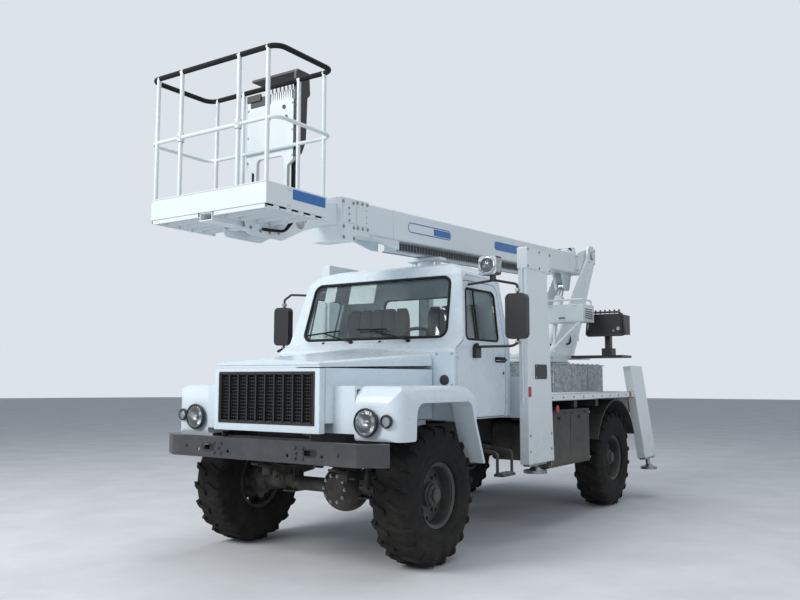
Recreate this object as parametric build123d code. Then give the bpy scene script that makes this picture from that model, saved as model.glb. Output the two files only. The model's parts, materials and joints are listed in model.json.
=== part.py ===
from build123d import *
from math import cos, sin, tan, radians
import os

# Cherry picker: a bonneted four-wheel-drive truck with a turret on its deck and a telescopic boom
# that lies forward over the cab, with a basket at its nose.
# Millimetres. Y runs from front to rear, X to the driver's side, Z up. All Y values are measured
# from the front axle, and every solid is shifted by the same amount at the end, so that the part's
# origin lies on the ground under the middle of its box.

# Driving dimensions of the chassis
wheelbase = 3770
track_half = 910
tyre_radius = 525
tyre_width = 315
frame_half = 450
frame_low = 800
frame_high = 1000
frame_front = -790
frame_rear = wheelbase + 1110
bumper_front = -870
kingpin_x = 760

# Driving dimensions of the cab, bonnet and wings
cab_half = 950
cab_front = 400
cab_rear = 1400
cab_floor = 1060
belt_z = 1700
roof_z = 2452
cab_wall = 42
hood_front = -795
hood_front_half = 532
hood_rear_half = 740
hood_side_z = 1480
wing_front = -660
wing_outer = 1140
wing_inner = 745
wing_top = 1345

# Driving dimensions of the deck, outriggers and turret
deck_half = 1100
deck_low = 1190
deck_top = 1255
deck_front = 1900
deck_rear = wheelbase + 590
slew_y = wheelbase + 30
pedestal_half = 650
pedestal_long = 1500
pedestal_top = 1575
post_front = 1306
post_wide_low = 540
post_wide_top = 430
post_outer = 1170
post_thick = 84
post_low = 650
post_top = 2580
rear_leg_y = wheelbase + 820
rear_leg_tilt = 8

# Driving dimensions of the boom and basket
pivot_y = wheelbase + 1630
pivot_z = 3090
arm_reach = 130
boom_slope = 2.0
boom_width = 300
boom_height = 270
boom_wall = 8
outer_long = 5110
tip_y = pivot_y - outer_long - 850
basket_half = 580
basket_front = tip_y - 870
basket_deep = 640
basket_floor_low = 2560
toe_board = 150
rail_top_z = 3660
rail_mid_z = 3150
rail_inset = 22
rail_over = 60
gate_collar = 27

# Running and seat clearances
seat = 0.3
fit = 1.0
gap = 6
bearing = 0.08
slide = 0.5

front_reach = basket_front + rail_inset - gate_collar
middle_y = (front_reach + pivot_y + arm_reach) / 2

os.makedirs("parts", exist_ok=True)


def flat(solids):
    """The separate solids of a shape or of a list of shapes."""
    found = []
    for item in solids if isinstance(solids, (list, tuple)) else [solids]:
        found.extend(item.solids())
    return found


def save(node, solids):
    """Write one node, moved to the part's own origin."""
    shift = Pos(0, -middle_y, 0)
    export_step(Compound(children=[shift * s for s in flat(solids)]), "parts/" + node + ".step")


def block(x, y, z):
    """A box from its low and high corner on each axis."""
    size = [abs(b - a) for a, b in (x, y, z)]
    centre = [(a + b) / 2 for a, b in (x, y, z)]
    return Pos(*centre) * Box(*size)


def fuse(pieces):
    """One shape from pieces that overlap."""
    whole = pieces[0]
    for piece in pieces[1:]:
        whole = whole + piece
    return whole


def common(shape, *others):
    """What a shape shares with each of the others."""
    for piece in others:
        shape = Part() + (shape & piece).solids()
    return shape


def rod(start, end, radius):
    """A round bar between two points."""
    line = Vector(*end) - Vector(*start)
    plane = Plane(origin=start, z_dir=line)
    return extrude(plane * Circle(radius), line.length)


def pipe(points, radius, bend):
    """A round bar bent along points, with one bend radius."""
    path = FilletPolyline(*points, radius=bend)
    return sweep(Plane(origin=path @ 0, z_dir=path % 0) * Circle(radius), path=path)


def outline(corners):
    """A closed face from corners (a, b, radius), each rounded by its own radius."""
    stops = []
    count = len(corners)
    for i, (a, b, r) in enumerate(corners):
        here = Vector(a, b)
        if r <= 0:
            stops.append((here, None, here))
            continue
        back = (Vector(*corners[i - 1][:2]) - here).normalized()
        ahead = (Vector(*corners[(i + 1) % count][:2]) - here).normalized()
        half = radians(back.get_angle(ahead)) / 2
        inward = (back + ahead).normalized()
        reach = r / tan(half)
        crown = here + inward * (r / sin(half) - r)
        stops.append((here + back * reach, crown, here + ahead * reach))
    edges = []
    for i, (enter, crown, leave) in enumerate(stops):
        before = stops[i - 1][2]
        if (enter - before).length > 0.001:
            edges.append(Line(before, enter))
        if crown is not None:
            edges.append(ThreePointArc(enter, crown, leave))
    return make_face(edges)


def prism(axis, corners, low, high):
    """Corners drawn square to an axis, pushed from low to high along it.

    Across X the corners are (y, z), across Y they are (x, z), and across Z they are (x, y).
    """
    face = outline(corners)
    if axis == "X":
        return Pos(low, 0, 0) * extrude(Plane.YZ * face, high - low)
    if axis == "Y":
        return Pos(0, high, 0) * extrude(Plane.XZ * face, high - low)
    return Pos(0, 0, low) * extrude(face, high - low)


def rect(a, b, r=0):
    """Corners of a rectangle between two pairs of values."""
    return [(a[0], b[0], r), (a[1], b[0], r), (a[1], b[1], r), (a[0], b[1], r)]


def other(shape):
    """The mirror image on the passenger's side."""
    return mirror(shape, about=Plane.YZ)


def both(shape):
    return [shape, other(shape)]


def about_x(side, near, far):
    """An X range on one side, low value first."""
    return (near, far) if side > 0 else (-far, -near)


# Wheels

lug_height = 22
lug_count = 20
lug_half = 19
lug_slant = 26
rim_radius = 228
flange_radius = 247
tread_half = tyre_width / 2 - 18
stud_circle = 111
spindle_radius = 40
spindle_end = track_half + 5


def tyre(x, y):
    """A round carcass with two rows of slanted lugs, on its axle line."""
    base = tyre_radius - lug_height
    half = tyre_width / 2
    bead = half - 50
    right = [(rim_radius + 1 + seat, bead), (flange_radius + 3, bead), (flange_radius + 5, half - 14),
             (base - 120, half), (base - 32, tread_half), (base, tread_half - 40)]
    left = [(r, -z) for r, z in reversed(right)]
    carcass = revolve(Plane.XZ * make_face(Polyline(*right, *left, close=True)), Axis.Z)
    lug = prism("Z", [(base - 14, 14, 0), (tyre_radius, 14, 0), (tyre_radius - 6, tread_half - 4, 0),
                      (base - 70, tread_half + 2, 0)], -lug_half, lug_half)
    lug = Plane(origin=(0, 0, 0), x_dir=(1, 0, 0), z_dir=(0, -1, 0)) * lug
    slanted_lug = Rot(lug_slant, 0, 0) * lug
    step = 360 / lug_count
    rows = []
    for i in range(lug_count):
        rows.append(Rot(0, 0, i * step) * slanted_lug)
        rows.append(Rot(0, 0, (i + 0.5) * step) * mirror(slanted_lug, about=Plane.XY))
    return Pos(x, y, tyre_radius) * Rot(0, 90, 0) * (carcass + rows)


def rim(side, y):
    """A dished steel wheel with its hub, studs and a bore for the spindle."""
    half = tyre_width / 2
    shell = [(rim_radius - 14, -half + 30), (rim_radius, -half + 30), (rim_radius + 1, half - 30),
             (rim_radius - 14, half - 30)]
    lip = [(rim_radius - 14, half - 46), (flange_radius, half - 40), (flange_radius, half - 28),
           (rim_radius - 14, half - 30)]
    back = [(r, -z) for r, z in lip]
    bore = spindle_radius + bearing
    disc = [(bore, -6), (150, -6), (rim_radius - 8, 30), (rim_radius - 8, 44), (150, 10), (bore, 10)]
    hub = [(0, 8), (92, 8), (92, 70), (78, 96), (52, 96), (52, 122), (0, 122)]
    rings = [revolve(Plane.XZ * make_face(Polyline(*profile, close=True)), Axis.Z)
             for profile in (shell, lip, back, disc, hub)]
    studs = [Pos(0, 0, 9) * place * Cylinder(11, 40) for place in PolarLocations(stud_circle, 6)]
    return Pos(side * track_half, y, tyre_radius) * Rot(0, 90 * side, 0) * (fuse(rings) + studs)


wheel_places = (("front_left", 1, 0), ("front_right", -1, 0), ("rear_left", 1, wheelbase),
                ("rear_right", -1, wheelbase))
for name, side, y in wheel_places:
    save("tyre_" + name, tyre(side * track_half, y))
    save("rim_" + name, rim(side, y))

# Axles

ball_radius = 100
diff_x = 170
diff_z = tyre_radius + 20
diff_radius = 192
diff_half_long = 165
nose_reach = 250
nose_radius = 70
axle_tube = 58
spring_x = 395
spring_seat_z = tyre_radius + 75
spring_half_long = 640
spring_half = 35


def axle_housing(y, tube_end, towards):
    """A banjo housing on the driver's side of its tube, its nose towards the gearbox."""
    housing = Pos(diff_x, y, tyre_radius) * Sphere(diff_radius)
    keep = block((diff_x - diff_radius, diff_x + diff_radius), (y - diff_half_long, y + diff_half_long),
                 (0, frame_high))
    beam = rod((-tube_end, y, tyre_radius), (tube_end, y, tyre_radius), axle_tube)
    nose = rod((diff_x, y, diff_z), (diff_x, y + towards * nose_reach, diff_z), nose_radius)
    pads = [block((s * spring_x - 45, s * spring_x + 45), (y - 75, y + 75), (tyre_radius, spring_seat_z))
            for s in (1, -1)]
    return fuse([common(housing, keep), beam, nose, *pads])


drum_radius = 185
kingpin_radius = 14
kingpin_end = 84
front_axle = axle_housing(0, kingpin_x - 20, 1)
rear_axle = axle_housing(wheelbase, track_half - 40, -1)
for s in (1, -1):
    front_axle = front_axle + Pos(s * kingpin_x, 0, tyre_radius) * Sphere(ball_radius)
    for near, far, radius in ((track_half - 135, track_half - 25, drum_radius),
                              (track_half - 30, spindle_end, spindle_radius)):
        start, end = ((s * x, wheelbase, tyre_radius) for x in (near, far))
        rear_axle = rear_axle + rod(start, end, radius)
for s in (1, -1):
    for low, high in ((kingpin_end, ball_radius + 5), (-ball_radius - 5, -kingpin_end)):
        foot, head = ((s * kingpin_x, 0, tyre_radius + z) for z in (low, high))
        front_axle = front_axle - rod(foot, head, kingpin_radius + bearing)
save("axles", [front_axle, rear_axle])


def knuckle():
    """The steered half-ball round the axle's end on its two pins, with its drum and spindle."""
    inner_r = ball_radius + 1
    outer_r = inner_r + 27
    lip, drum_near, drum_far, drum_r = -14, 60, 108, 120
    body = Rot(0, 90, 0) * Sphere(outer_r)
    body = common(body, block((lip, drum_far), (-outer_r - 1, outer_r + 1), (-outer_r - 1, outer_r + 1)))
    body = body + rod((drum_near, 0, 0), (drum_far, 0, 0), drum_r)
    body = body + rod((drum_far - 5, 0, 0), (spindle_end - kingpin_x, 0, 0), spindle_radius)
    for end_z in (1, -1):
        body = body + Pos(18, 0, end_z * (outer_r + 5)) * Cylinder(30, 34)
    body = body + prism("Z", [(5, 88, 0), (60, 88, 0), (-20, 205, 12), (-60, 205, 12)], -96, -66)
    body = body - Rot(0, 90, 0) * Sphere(inner_r)
    for end_z in (1, -1):
        body = body + rod((0, 0, end_z * (kingpin_end + 1)), (0, 0, end_z * (inner_r + 12)), kingpin_radius)
    return Pos(kingpin_x, 0, tyre_radius) * body


left_knuckle = knuckle()
save("knuckle_left", left_knuckle)
save("knuckle_right", other(left_knuckle))

# Leaf springs and their hangers

leaf = 16
leaf_shares = (0.36, 0.55, 0.75, 1.0)
leaf_rise = 130
leaf_flat = 80
hanger_half = 30


def spring(side, y):
    """A pack of leaves, each longer than the one below, with its two hangers."""
    x = (side * spring_x - spring_half, side * spring_x + spring_half)
    pack = []
    for i, share in enumerate(leaf_shares):
        half = spring_half_long * share
        low = spring_seat_z + i * leaf
        rise = leaf_rise * share * share
        under = [(y - half, low + rise, 0), (y - leaf_flat, low, 0), (y + leaf_flat, low, 0),
                 (y + half, low + rise, 0)]
        pack.append(prism("X", under + [(a, b + leaf, r) for a, b, r in reversed(under)], *x))
    for end in (-1, 1):
        place = y + end * (spring_half_long - 25)
        pack.append(block(x, (place - hanger_half, place + hanger_half), (frame_low - 42, frame_low)))
    return fuse(pack)


save("leaf_springs", [spring(s, y) for y in (0, wheelbase) for s in (1, -1)])

# Frame: two channel rails, cross members and the towing eye

rail_wall = 9
rail_flange = 75
cross_members = (-700, wheelbase - 1620, wheelbase - 870, wheelbase - 170, wheelbase + 530, frame_rear - 50)
cross_half_long = 45
cross_z = (frame_low + 25, frame_high - 40)
eye_z = 900
rail = block((frame_half - rail_flange, frame_half), (frame_front, frame_rear), (frame_low, frame_high))
rail = rail - block((frame_half - rail_flange - 1, frame_half - rail_wall), (frame_front - 1, frame_rear + 1),
                    (frame_low + rail_wall, frame_high - rail_wall))
frame = both(rail)
for y in cross_members:
    frame.append(block((-frame_half + 4, frame_half - 4), (y - cross_half_long, y + cross_half_long),
                       cross_z))
frame.append(block((-90, 90), (frame_rear - 6, frame_rear + 14), (frame_low + 20, frame_high - 20)))
frame.append(rod((0, frame_rear + 10, eye_z), (0, frame_rear + 70, eye_z), 34))
frame.append(Pos(0, frame_rear + 112, eye_z) * Rot(0, 90, 0) * Torus(50, 17))
save("frame_rails", fuse(frame))

# Front bumper, a channel with angled ends, slots for the towing hooks and lashing holes

bumper_low = 792
bumper_high = 950
bumper_half = 920
bumper_end_x = 1110
bumper_end_y = -742
bumper_deep = 65
bumper_skin = 9
hook_slot_x = 510
lashing_holes = ((390, 862), (300, 846), (620, 850))
lashing_radius = 13


def bumper_plan(inset):
    """Corners of the bumper's plan, its front moved back by the inset."""
    front = bumper_front + inset
    side = bumper_end_x - inset * 0.7
    rear = bumper_front + bumper_deep + 12
    return [(-side, bumper_end_y + inset * 0.7, 0), (-bumper_half + inset * 0.3, front, 25),
            (bumper_half - inset * 0.3, front, 25), (side, bumper_end_y + inset * 0.7, 0),
            (side - 52, bumper_end_y + bumper_deep, 0), (bumper_half - 30, rear, 0),
            (-bumper_half + 30, rear, 0), (-side + 52, bumper_end_y + bumper_deep, 0)]


bumper = prism("Z", bumper_plan(0), bumper_low, bumper_high)
trough = [(x, y + (200 if i > 3 else 0), r) for i, (x, y, r) in enumerate(bumper_plan(bumper_skin))]
bumper = bumper - prism("Z", trough, bumper_low + bumper_skin, bumper_high - bumper_skin)
for s in (1, -1):
    slot = Pos(s * hook_slot_x, bumper_front, (bumper_low + bumper_high) / 2) * Rot(90, 0, 0)
    bumper = bumper - slot * extrude(SlotOverall(125, 52), 60, both=True)
    for x, z in lashing_holes:
        bumper = bumper - rod((s * x, bumper_front - 30, z), (s * x, bumper_front + 40, z), lashing_radius)
    arm_x = (s * (frame_half - 40) - 35, s * (frame_half - 40) + 35)
    bumper = bumper + block(arm_x, (bumper_front + 8, frame_front - seat),
                            (bumper_low + 20, bumper_high - 20))
save("front_bumper", bumper)

# Engine, gearbox, transfer case and shafts

engine_x = (-300, 300)
engine_y = (-560, 380)
engine_z = (900, 1400)
gearbox_x = (-170, 170)
gearbox_y = (430, 1130)
gearbox_z = (830, 1050)
case_x = (-190, 230)
case_y = (wheelbase - 2290, wheelbase - 1940)
case_z = (640, 960)
case_beam_y = (case_y[0] + 140, case_y[0] + 220)
joint_ball = 46
save("engine", block(engine_x, engine_y, engine_z))
drive = [block(gearbox_x, gearbox_y, gearbox_z),
         block((-60, 60), (engine_y[1] + seat, gearbox_y[0] + 2), (960, 1040)),
         rod((0, gearbox_y[1] - 5, 930), (0, case_y[0] + 5, 900), 40),
         block(case_x, case_y, case_z),
         block((-frame_half + rail_wall + seat, frame_half - rail_wall - seat), case_beam_y, (940, 980))]
ball_reach = nose_reach + joint_ball + seat
for start, ball_y, radius in (((diff_x, case_y[0] + 5, 720), ball_reach, 38),
                              ((60, case_y[1] - 5, 800), wheelbase - ball_reach, 42)):
    drive.append(rod(start, (diff_x, ball_y, diff_z), radius))
    drive.append(Pos(diff_x, ball_y, diff_z) * Sphere(joint_ball))
save("drive_line", fuse(drive))

# Fuel tank, battery box and air receiver beside the rails

tank_y = (deck_front + 60, wheelbase - 1150)
tank = prism("X", rect(tank_y, (610, 980), 60), frame_half + 12, frame_half + 390)
straps = [block((frame_half + seat, frame_half + 20), (y, y + 60), (640, 960))
          for y in (tank_y[0] + 100, tank_y[1] - 160)]
battery_y = (tank_y[0] + 40, tank_y[1] - 120)
battery = block((-frame_half - 380, -frame_half - seat), battery_y, (640, 960))
receiver_x = -frame_half - 130
receiver_y = (battery_y[1] + 40, battery_y[1] + 280)
receiver = rod((receiver_x, receiver_y[0], 860), (receiver_x, receiver_y[1], 860), 105)
receiver = receiver + block((receiver_x + 60, -frame_half - seat), (receiver_y[0] + 100, receiver_y[0] + 150),
                            (900, 960))
save("side_tanks", [fuse([tank, *straps]), battery, receiver])

# Cab shell

cowl_z = 1640
screen_foot = (545, 1728)
screen_head = (703, 2292)
screen_low = 1752
screen_top = 2278


def cab_side(inset):
    """The cab's outline from the side, moved inwards by the inset."""
    return [(cab_front + inset, cab_floor + inset, 0), (cab_front + inset, cowl_z - inset * 0.3, 40),
            (screen_foot[0] + inset, screen_foot[1] - inset * 0.4, 20),
            (screen_head[0] + inset, screen_head[1] - inset, 40), (790 + inset, roof_z - 62 - inset, 90),
            (1010, roof_z - inset, 500), (cab_rear - 20 - inset, roof_z - 60 - inset, 110),
            (cab_rear - inset, cab_floor + inset, 0)]


def cab_face(inset):
    """The cab's outline from the front, moved inwards by the inset."""
    right = [(560, roof_z + 8 - inset, 600), (840 - inset, 2330 - inset, 110),
             (cab_half - inset, belt_z, 300), (cab_half - inset, cab_floor + inset, 20)]
    return [(-x, z, r) for x, z, r in reversed(right)] + right


def cab_tube(inset):
    """The cab's front outline pushed through its whole length."""
    return prism("Y", cab_face(inset), cab_front - 50, cab_rear + 50)


def cab_form(inset):
    """The cab's outer form, or the space inside it when it is inset by a wall."""
    return common(prism("X", cab_side(inset), -cab_half - 50, cab_half + 50), cab_tube(inset))


def cab_bore(inset):
    """The space between the side walls, open through the floor."""
    x = (-cab_half + inset, cab_half - inset)
    floor_z = (cab_floor - 10, cab_floor + inset + 30)
    return cab_tube(inset) + block(x, (cab_front - 50, cab_rear + 50), floor_z)


windscreen = [(-782, screen_low, 70), (782, screen_low, 70), (742, screen_top, 80), (-742, screen_top, 80)]
rear_light = rect((-430, 430), (1780, 2180), 70)
door_line = [(446, 1078, 50), (446, 1650, 30), (557, 1719, 20), (704, 2238, 60), (1296, 2238, 70),
             (1296, 1078, 50)]
side_light = [(603, 1730, 30), (1176, 1730, 45), (1236, 2172, 50), (727, 2172, 40)]
door_middle = (900, 1500)
door_rear_gap = 12
side_x = (700, cab_half + 60)


def spread(corners):
    """The door's corners moved outwards by the gaps round it."""
    y, z = door_middle
    return [(a + (door_rear_gap if a > y else -gap), b + (gap if b > z else -gap), r) for a, b, r in corners]


walls = cab_form(0) - cab_form(cab_wall)
opening = prism("X", spread(door_line), *side_x) - cab_bore(cab_wall + gap)
shell = walls
for cut in both(opening):
    shell = shell - cut
shell = shell - prism("Y", windscreen, cab_front, 900)
shell = shell - prism("Y", rear_light, cab_rear - 200, cab_rear + 50)
mount_rows = ((500, cab_front + 60, cab_front + 180), (420, cab_rear - 160, cab_rear - 40))
for s in (1, -1):
    for x, near, far in mount_rows:
        shell = shell + block((s * x - 60, s * x + 60), (near, far), (frame_high + seat, cab_floor + 4))
hood_pin = (384, 1640)
hood_pin_x = 200
hood_pin_radius = 6
hood_ear_half = 16
for s in (1, -1):
    x = (s * hood_pin_x - hood_ear_half, s * hood_pin_x + hood_ear_half)
    ear = rod((x[0], *hood_pin), (x[1], *hood_pin), hood_pin_radius + 5)
    ear = ear + block(x, (hood_pin[0], cab_front + 12), (hood_pin[1] - 11, hood_pin[1]))
    shell = shell + ear - rod((x[0] - 1, *hood_pin), (x[1] + 1, *hood_pin), hood_pin_radius + bearing)
door_pin = (960, 443)
door_pin_radius = 4
door_hinge_z = (1280, 1590)
hinge_half = 12
for z in door_hinge_z:
    ear = block((cab_half - 2, door_pin[0]), (cab_front + 5, door_pin[1]), (z - hinge_half, z + hinge_half))
    ear = ear + rod((*door_pin, z - hinge_half), (*door_pin, z + hinge_half), door_pin_radius + 5)
    ear = ear - rod((*door_pin, z - 20), (*door_pin, z + 20), door_pin_radius + bearing)
    for piece in both(ear):
        shell = shell + piece
save("cab_shell", shell)

# Doors and glass

side_wall = cab_tube(0) - cab_bore(cab_wall)
door = common(side_wall, prism("X", door_line, *side_x)) - prism("X", side_light, *side_x)
handle = block((cab_half - 6, cab_half + 22), (1112, 1284), (1558, 1576))
handle_plate = block((cab_half - 8, cab_half + 4), (1102, 1296), (1546, 1588))
door = door + handle_plate + handle
for z in door_hinge_z:
    door = door + rod((*door_pin, z - 2 * hinge_half), (*door_pin, z + 2 * hinge_half), door_pin_radius)
    for low in (z - 2 * hinge_half - 1, z + hinge_half + 1):
        strap_z = (low, low + hinge_half)
        door = door + block((cab_half + 1.5, door_pin[0] + 4), (door_pin[1] - 4, 475), strap_z)
        door = door + block((cab_half - 2, cab_half + 2), (door_pin[1] + 12, 475), strap_z)
save("door_left", door)
save("door_right", other(door))

glass_in = 12
glass_out = 18
door_glass = common(cab_tube(glass_in) - cab_tube(glass_out), prism("X", side_light, *side_x))
save("door_glass_left", door_glass)
save("door_glass_right", other(door_glass))
pane = cab_form(glass_in) - cab_form(glass_out)
screen_glass = common(pane, prism("Y", windscreen, cab_front, 900))
rear_glass = common(pane, prism("Y", rear_light, cab_rear - 200, cab_rear + 50))
save("cab_glass", [screen_glass, rear_glass])

# Seats, dashboard and steering wheel

seat_low = cab_floor + cab_wall + seat
cushion_z = (seat_low + 240, seat_low + 380)
seats = []
for x in ((180, 700), (-760, -60)):
    base = block((x[0] + 60, x[1] - 60), (900, 1180), (seat_low, cushion_z[0] + 1))
    cushion = block(x, (780, 1250), cushion_z)
    back = prism("X", [(1190, cushion_z[1] - 5, 0), (1300, cushion_z[1] - 5, 30), (1345, seat_low + 980, 40),
                       (1265, seat_low + 980, 40)], *x)
    seats.append(base + cushion + back)
save("cab_seats", seats)
dash_half = cab_half - cab_wall - 40
dash_front = cab_front + cab_wall + seat
dash = prism("X", [(dash_front, 1400, 0), (dash_front, 1600, 0), (580, 1690, 10), (720, 1690, 40),
                   (760, 1560, 40), (640, 1400, 30)], -dash_half, dash_half)
column_low = Vector(430, 610, 1480)
column_high = Vector(430, 800, 1690)
wheel_plane = Plane(origin=column_high, z_dir=column_high - column_low)
steering_radius = 215
column = rod(tuple(column_low), tuple(column_high), 28)
ring = wheel_plane * Torus(steering_radius, 15)
spokes = [wheel_plane * Rot(0, 0, a) * Pos(steering_radius / 2, 0, 0) * Box(steering_radius, 34, 14)
          for a in (90, 210, 330)]
save("dashboard", fuse([dash, column, ring, *spokes]))

# Wings with the panels that join them to the bonnet's sides

wing_low = 956
arch_top = 1222
lip_low = 725
wing_skin = 27
wing_back = 418
wing_side = [(wing_front, wing_low, 30), (wing_front, wing_top, 140), (300, wing_top, 150),
             (wing_back, 1230, 60), (wing_back, 1062, 10), (560, lip_low, 8), (530, lip_low, 8),
             (392, 1052, 20), (340, arch_top, 80), (-440, arch_top, 90), (-455, wing_low, 20)]
wing_plan = [(wing_inner, wing_front, 0), (wing_outer, wing_front, 120), (wing_outer, 590, 30),
             (wing_inner, 590, 0)]
wing_face = [(wing_inner, 700, 0), (wing_outer, 700, 0), (wing_outer, wing_top, 95),
             (wing_inner, wing_top, 0)]
wing = common(prism("X", wing_side, wing_inner, wing_outer), prism("Z", wing_plan, 700, wing_top + 50),
              prism("Y", wing_face, wing_front - 10, 600))
hollow_x = (wing_inner + wing_skin, wing_outer - wing_skin)
hollow_y = (wing_front + 30, 285)
hollow_top = wing_top - wing_skin
hollow = common(prism("Z", [(hollow_x[0], hollow_y[0], 0), (hollow_x[1], hollow_y[0], 95),
                            (hollow_x[1], hollow_y[1], 0), (hollow_x[0], hollow_y[1], 0)], 600, hollow_top),
                prism("X", [(hollow_y[0], 600, 0), (hollow_y[0], hollow_top, 112),
                            (hollow_y[1], hollow_top, 0), (hollow_y[1], 600, 0)], *hollow_x),
                prism("Y", [(hollow_x[0], 600, 0), (hollow_x[1], 600, 0), (hollow_x[1], hollow_top, 70),
                            (hollow_x[0], hollow_top, 0)], *hollow_y))
wing = wing - hollow
wing = wing - block((wing_inner - 1, cab_half + gap), (200, 700), (lip_low - 5, arch_top - 7))
wing = wing - block((wing_inner - 1, cab_half + gap), (cab_front - gap, 700), (lip_low - 5, wing_top + 5))
lamp_x = 865
lamp_z = 1088
lamp_radius = 92
lamp_seat_y = wing_front + 20
wing = wing - rod((lamp_x, wing_front - 40, lamp_z), (lamp_x, lamp_seat_y, lamp_z), lamp_radius)
inner_low = 1075
inner_front = (hood_front_half + 8, hood_front + 60)
inner_back = (hood_rear_half + 3, cab_front - 8)
inner_plan = [(*inner_front, 0), (*inner_back, 0), (inner_back[0] - 20, inner_back[1], 0),
              (inner_front[0] - 22, inner_front[1], 0)]
inner_panel = prism("Z", inner_plan, inner_low, hood_side_z - gap)
front_plate = block((inner_front[0] + 5, wing_inner + 3), (wing_front, wing_front + 20), (1002, wing_top))
shelf = prism("Z", [(inner_front[0] + 10, wing_front, 0), (wing_inner + 3, wing_front, 0),
                    (wing_inner + 3, inner_back[1], 0), (inner_back[0] - 2, inner_back[1], 0)],
              wing_top - 25, wing_top)
foot = block((frame_half - 10, 575), (-640, -560), (frame_high + seat, inner_low + 35))
wings = fuse([wing, inner_panel, front_plate, shelf, foot])
save("front_wings", both(wings))

# Nose panel and grille

nose_deep = 60
nose_z = (frame_high + 2, 1472)
grille_half = 488
grille_z = (1056, 1448)
nose = block((-hood_front_half, hood_front_half), (hood_front, hood_front + nose_deep), nose_z)
nose = nose - block((-grille_half, grille_half), (hood_front - 1, hood_front + nose_deep + 1), grille_z)
for s in (1, -1):
    nose = nose + block((s * 400 - 40, s * 400 + 40), (frame_front + 1, hood_front + nose_deep),
                        (frame_high + seat, nose_z[0] + 1))
save("nose_panel", nose)

columns = 10
rows = 13
bar = 9
grille_rim = 22
cell_x = (2 * grille_half - 50) / columns
cell_z = (grille_z[1] - grille_z[0] - 2 * grille_rim) / rows
grille_mid = (grille_z[0] + grille_z[1]) / 2
sheet = outline(rect((-grille_half + seat, grille_half - seat), (grille_z[0] + seat, grille_z[1] - seat), 8))
holes = [Pos((i - (columns - 1) / 2) * cell_x, grille_mid + (j - (rows - 1) / 2) * cell_z)
         * Rectangle(cell_x - bar - 4, cell_z - bar) for i in range(columns) for j in range(rows)]
grille = Pos(0, hood_front + 30, 0) * extrude(Plane.XZ * (sheet - holes), 22)
for i in range(columns + 1):
    x = (i - columns / 2) * cell_x
    grille = grille + block((x - 6, x + 6), (hood_front - 4, hood_front + 20),
                            (grille_z[0] + grille_rim - 2, grille_z[1] - grille_rim + 2))
save("grille", grille)

# Bonnet, a thin shell with a crowned top, hinged at its rear edge

hood_rear = cab_front - gap
hood_skin = 22


def hood_section(y, half, low, shoulder, crown, inset, bend):
    """One cross-section of the bonnet at a place along the truck."""
    corners = [(-half + inset, low, 0), (-half + inset, shoulder - inset, bend),
               (0, crown - inset, half * 2.2), (half - inset, shoulder - inset, bend),
               (half - inset, low, 0)]
    return Pos(0, y, 0) * (Plane.XZ * outline(corners))


def hood_form(inset, drop):
    """The bonnet's outer form, or the space under it when it is inset by its skin."""
    front = hood_section(hood_front + inset, hood_front_half, hood_side_z - drop, 1515, 1545, inset, 24)
    rear = hood_section(hood_rear + (1 if inset else 0), hood_rear_half, hood_side_z + 24 - drop, 1612, 1668,
                        inset, 60)
    return loft([front, rear], ruled=True)


hood = hood_form(0, 0) - hood_form(hood_skin, 20)
for s in (1, -1):
    notch = (s * hood_pin_x - hood_ear_half - gap, s * hood_pin_x + hood_ear_half + gap)
    hood = hood - block(notch, (hood_pin[0] - 18, cab_front), (hood_pin[1] - 40, hood_pin[1] + 40))
    hood = hood + rod((notch[0] - 8, *hood_pin), (notch[1] + 8, *hood_pin), hood_pin_radius)
save("hood", hood)

# Headlamps and side lamps

side_lamp_x = 1030
side_lamp_z = 1100
lamp_rows = ((lamp_x, lamp_seat_y - seat, lamp_z, lamp_radius - seat, 88),
             (side_lamp_x, wing_front - seat, side_lamp_z, 38, 26))
save("lamps", [rod((s * x, y, z), (s * x, y - deep, z), r)
               for s in (1, -1) for x, y, z, r, deep in lamp_rows])

# Mirrors on their door arms, the work lamp on the driver's side, and the steps under the doors

mirror_x = 1300
mirror_z = 1920
arm_radius = 11
arm_low_z = 1668
arm_high_z = 2190
head = Pos(mirror_x, 838, mirror_z) * Box(190, 70, 380)
head = fillet(head.edges().filter_by(Axis.Y), 45)
arm_path = [(cab_half + gap, 745, arm_low_z), (mirror_x, 745, arm_low_z), (mirror_x, 850, arm_low_z + 30),
            (mirror_x, 850, arm_high_z), (1130, 760, arm_high_z + 35), (876, 765, arm_high_z + 15)]
pad = block((cab_half + seat, cab_half + 14), (715, 775), (1600, 1690))
work_lamp = block((1050, 1210), (640, 730), (2262, 2412))
lamp_foot = block((1118, 1142), (700, 770), (2215, 2264))
mirror_arm = fuse([pipe(arm_path, arm_radius, 30), pad, head])
save("mirror_left", fuse([mirror_arm, work_lamp, lamp_foot]))
save("mirror_right", other(mirror_arm))

step_x = 1045
step_y = (950, 1220)
step_z = 580
step_path = [(frame_half + seat, step_y[0], 850), (step_x, step_y[0], 770), (step_x, step_y[0], step_z),
             (step_x, step_y[1], step_z), (step_x, step_y[1], 770), (frame_half + seat, step_y[1], 850)]
step = pipe(step_path, 13, 30) + block((step_x - 45, step_x + 45), (step_y[0] + 20, step_y[1] - 20),
                                       (step_z - 10, step_z + 12))
step = step - block((frame_half - 40, frame_half + seat), (900, 1300), (800, 900))
save("cab_steps", both(step))

# Subframe, deck and boom rest

beam_width = 90
cross_beams = ((deck_front + 150, deck_half - 60), (wheelbase - 1070, deck_half - 60),
               (wheelbase - 470, deck_half - 60), (wheelbase + 130, 690))
beam = block((frame_half - beam_width, frame_half), (1500, frame_rear - 20),
             (frame_high + seat, deck_low - seat))
subframe = both(beam)
for y, half in cross_beams:
    subframe.append(block((-half, half), (y - 40, y + 40), (deck_low - 80, deck_low - seat)))
save("subframe", fuse(subframe))

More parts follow.
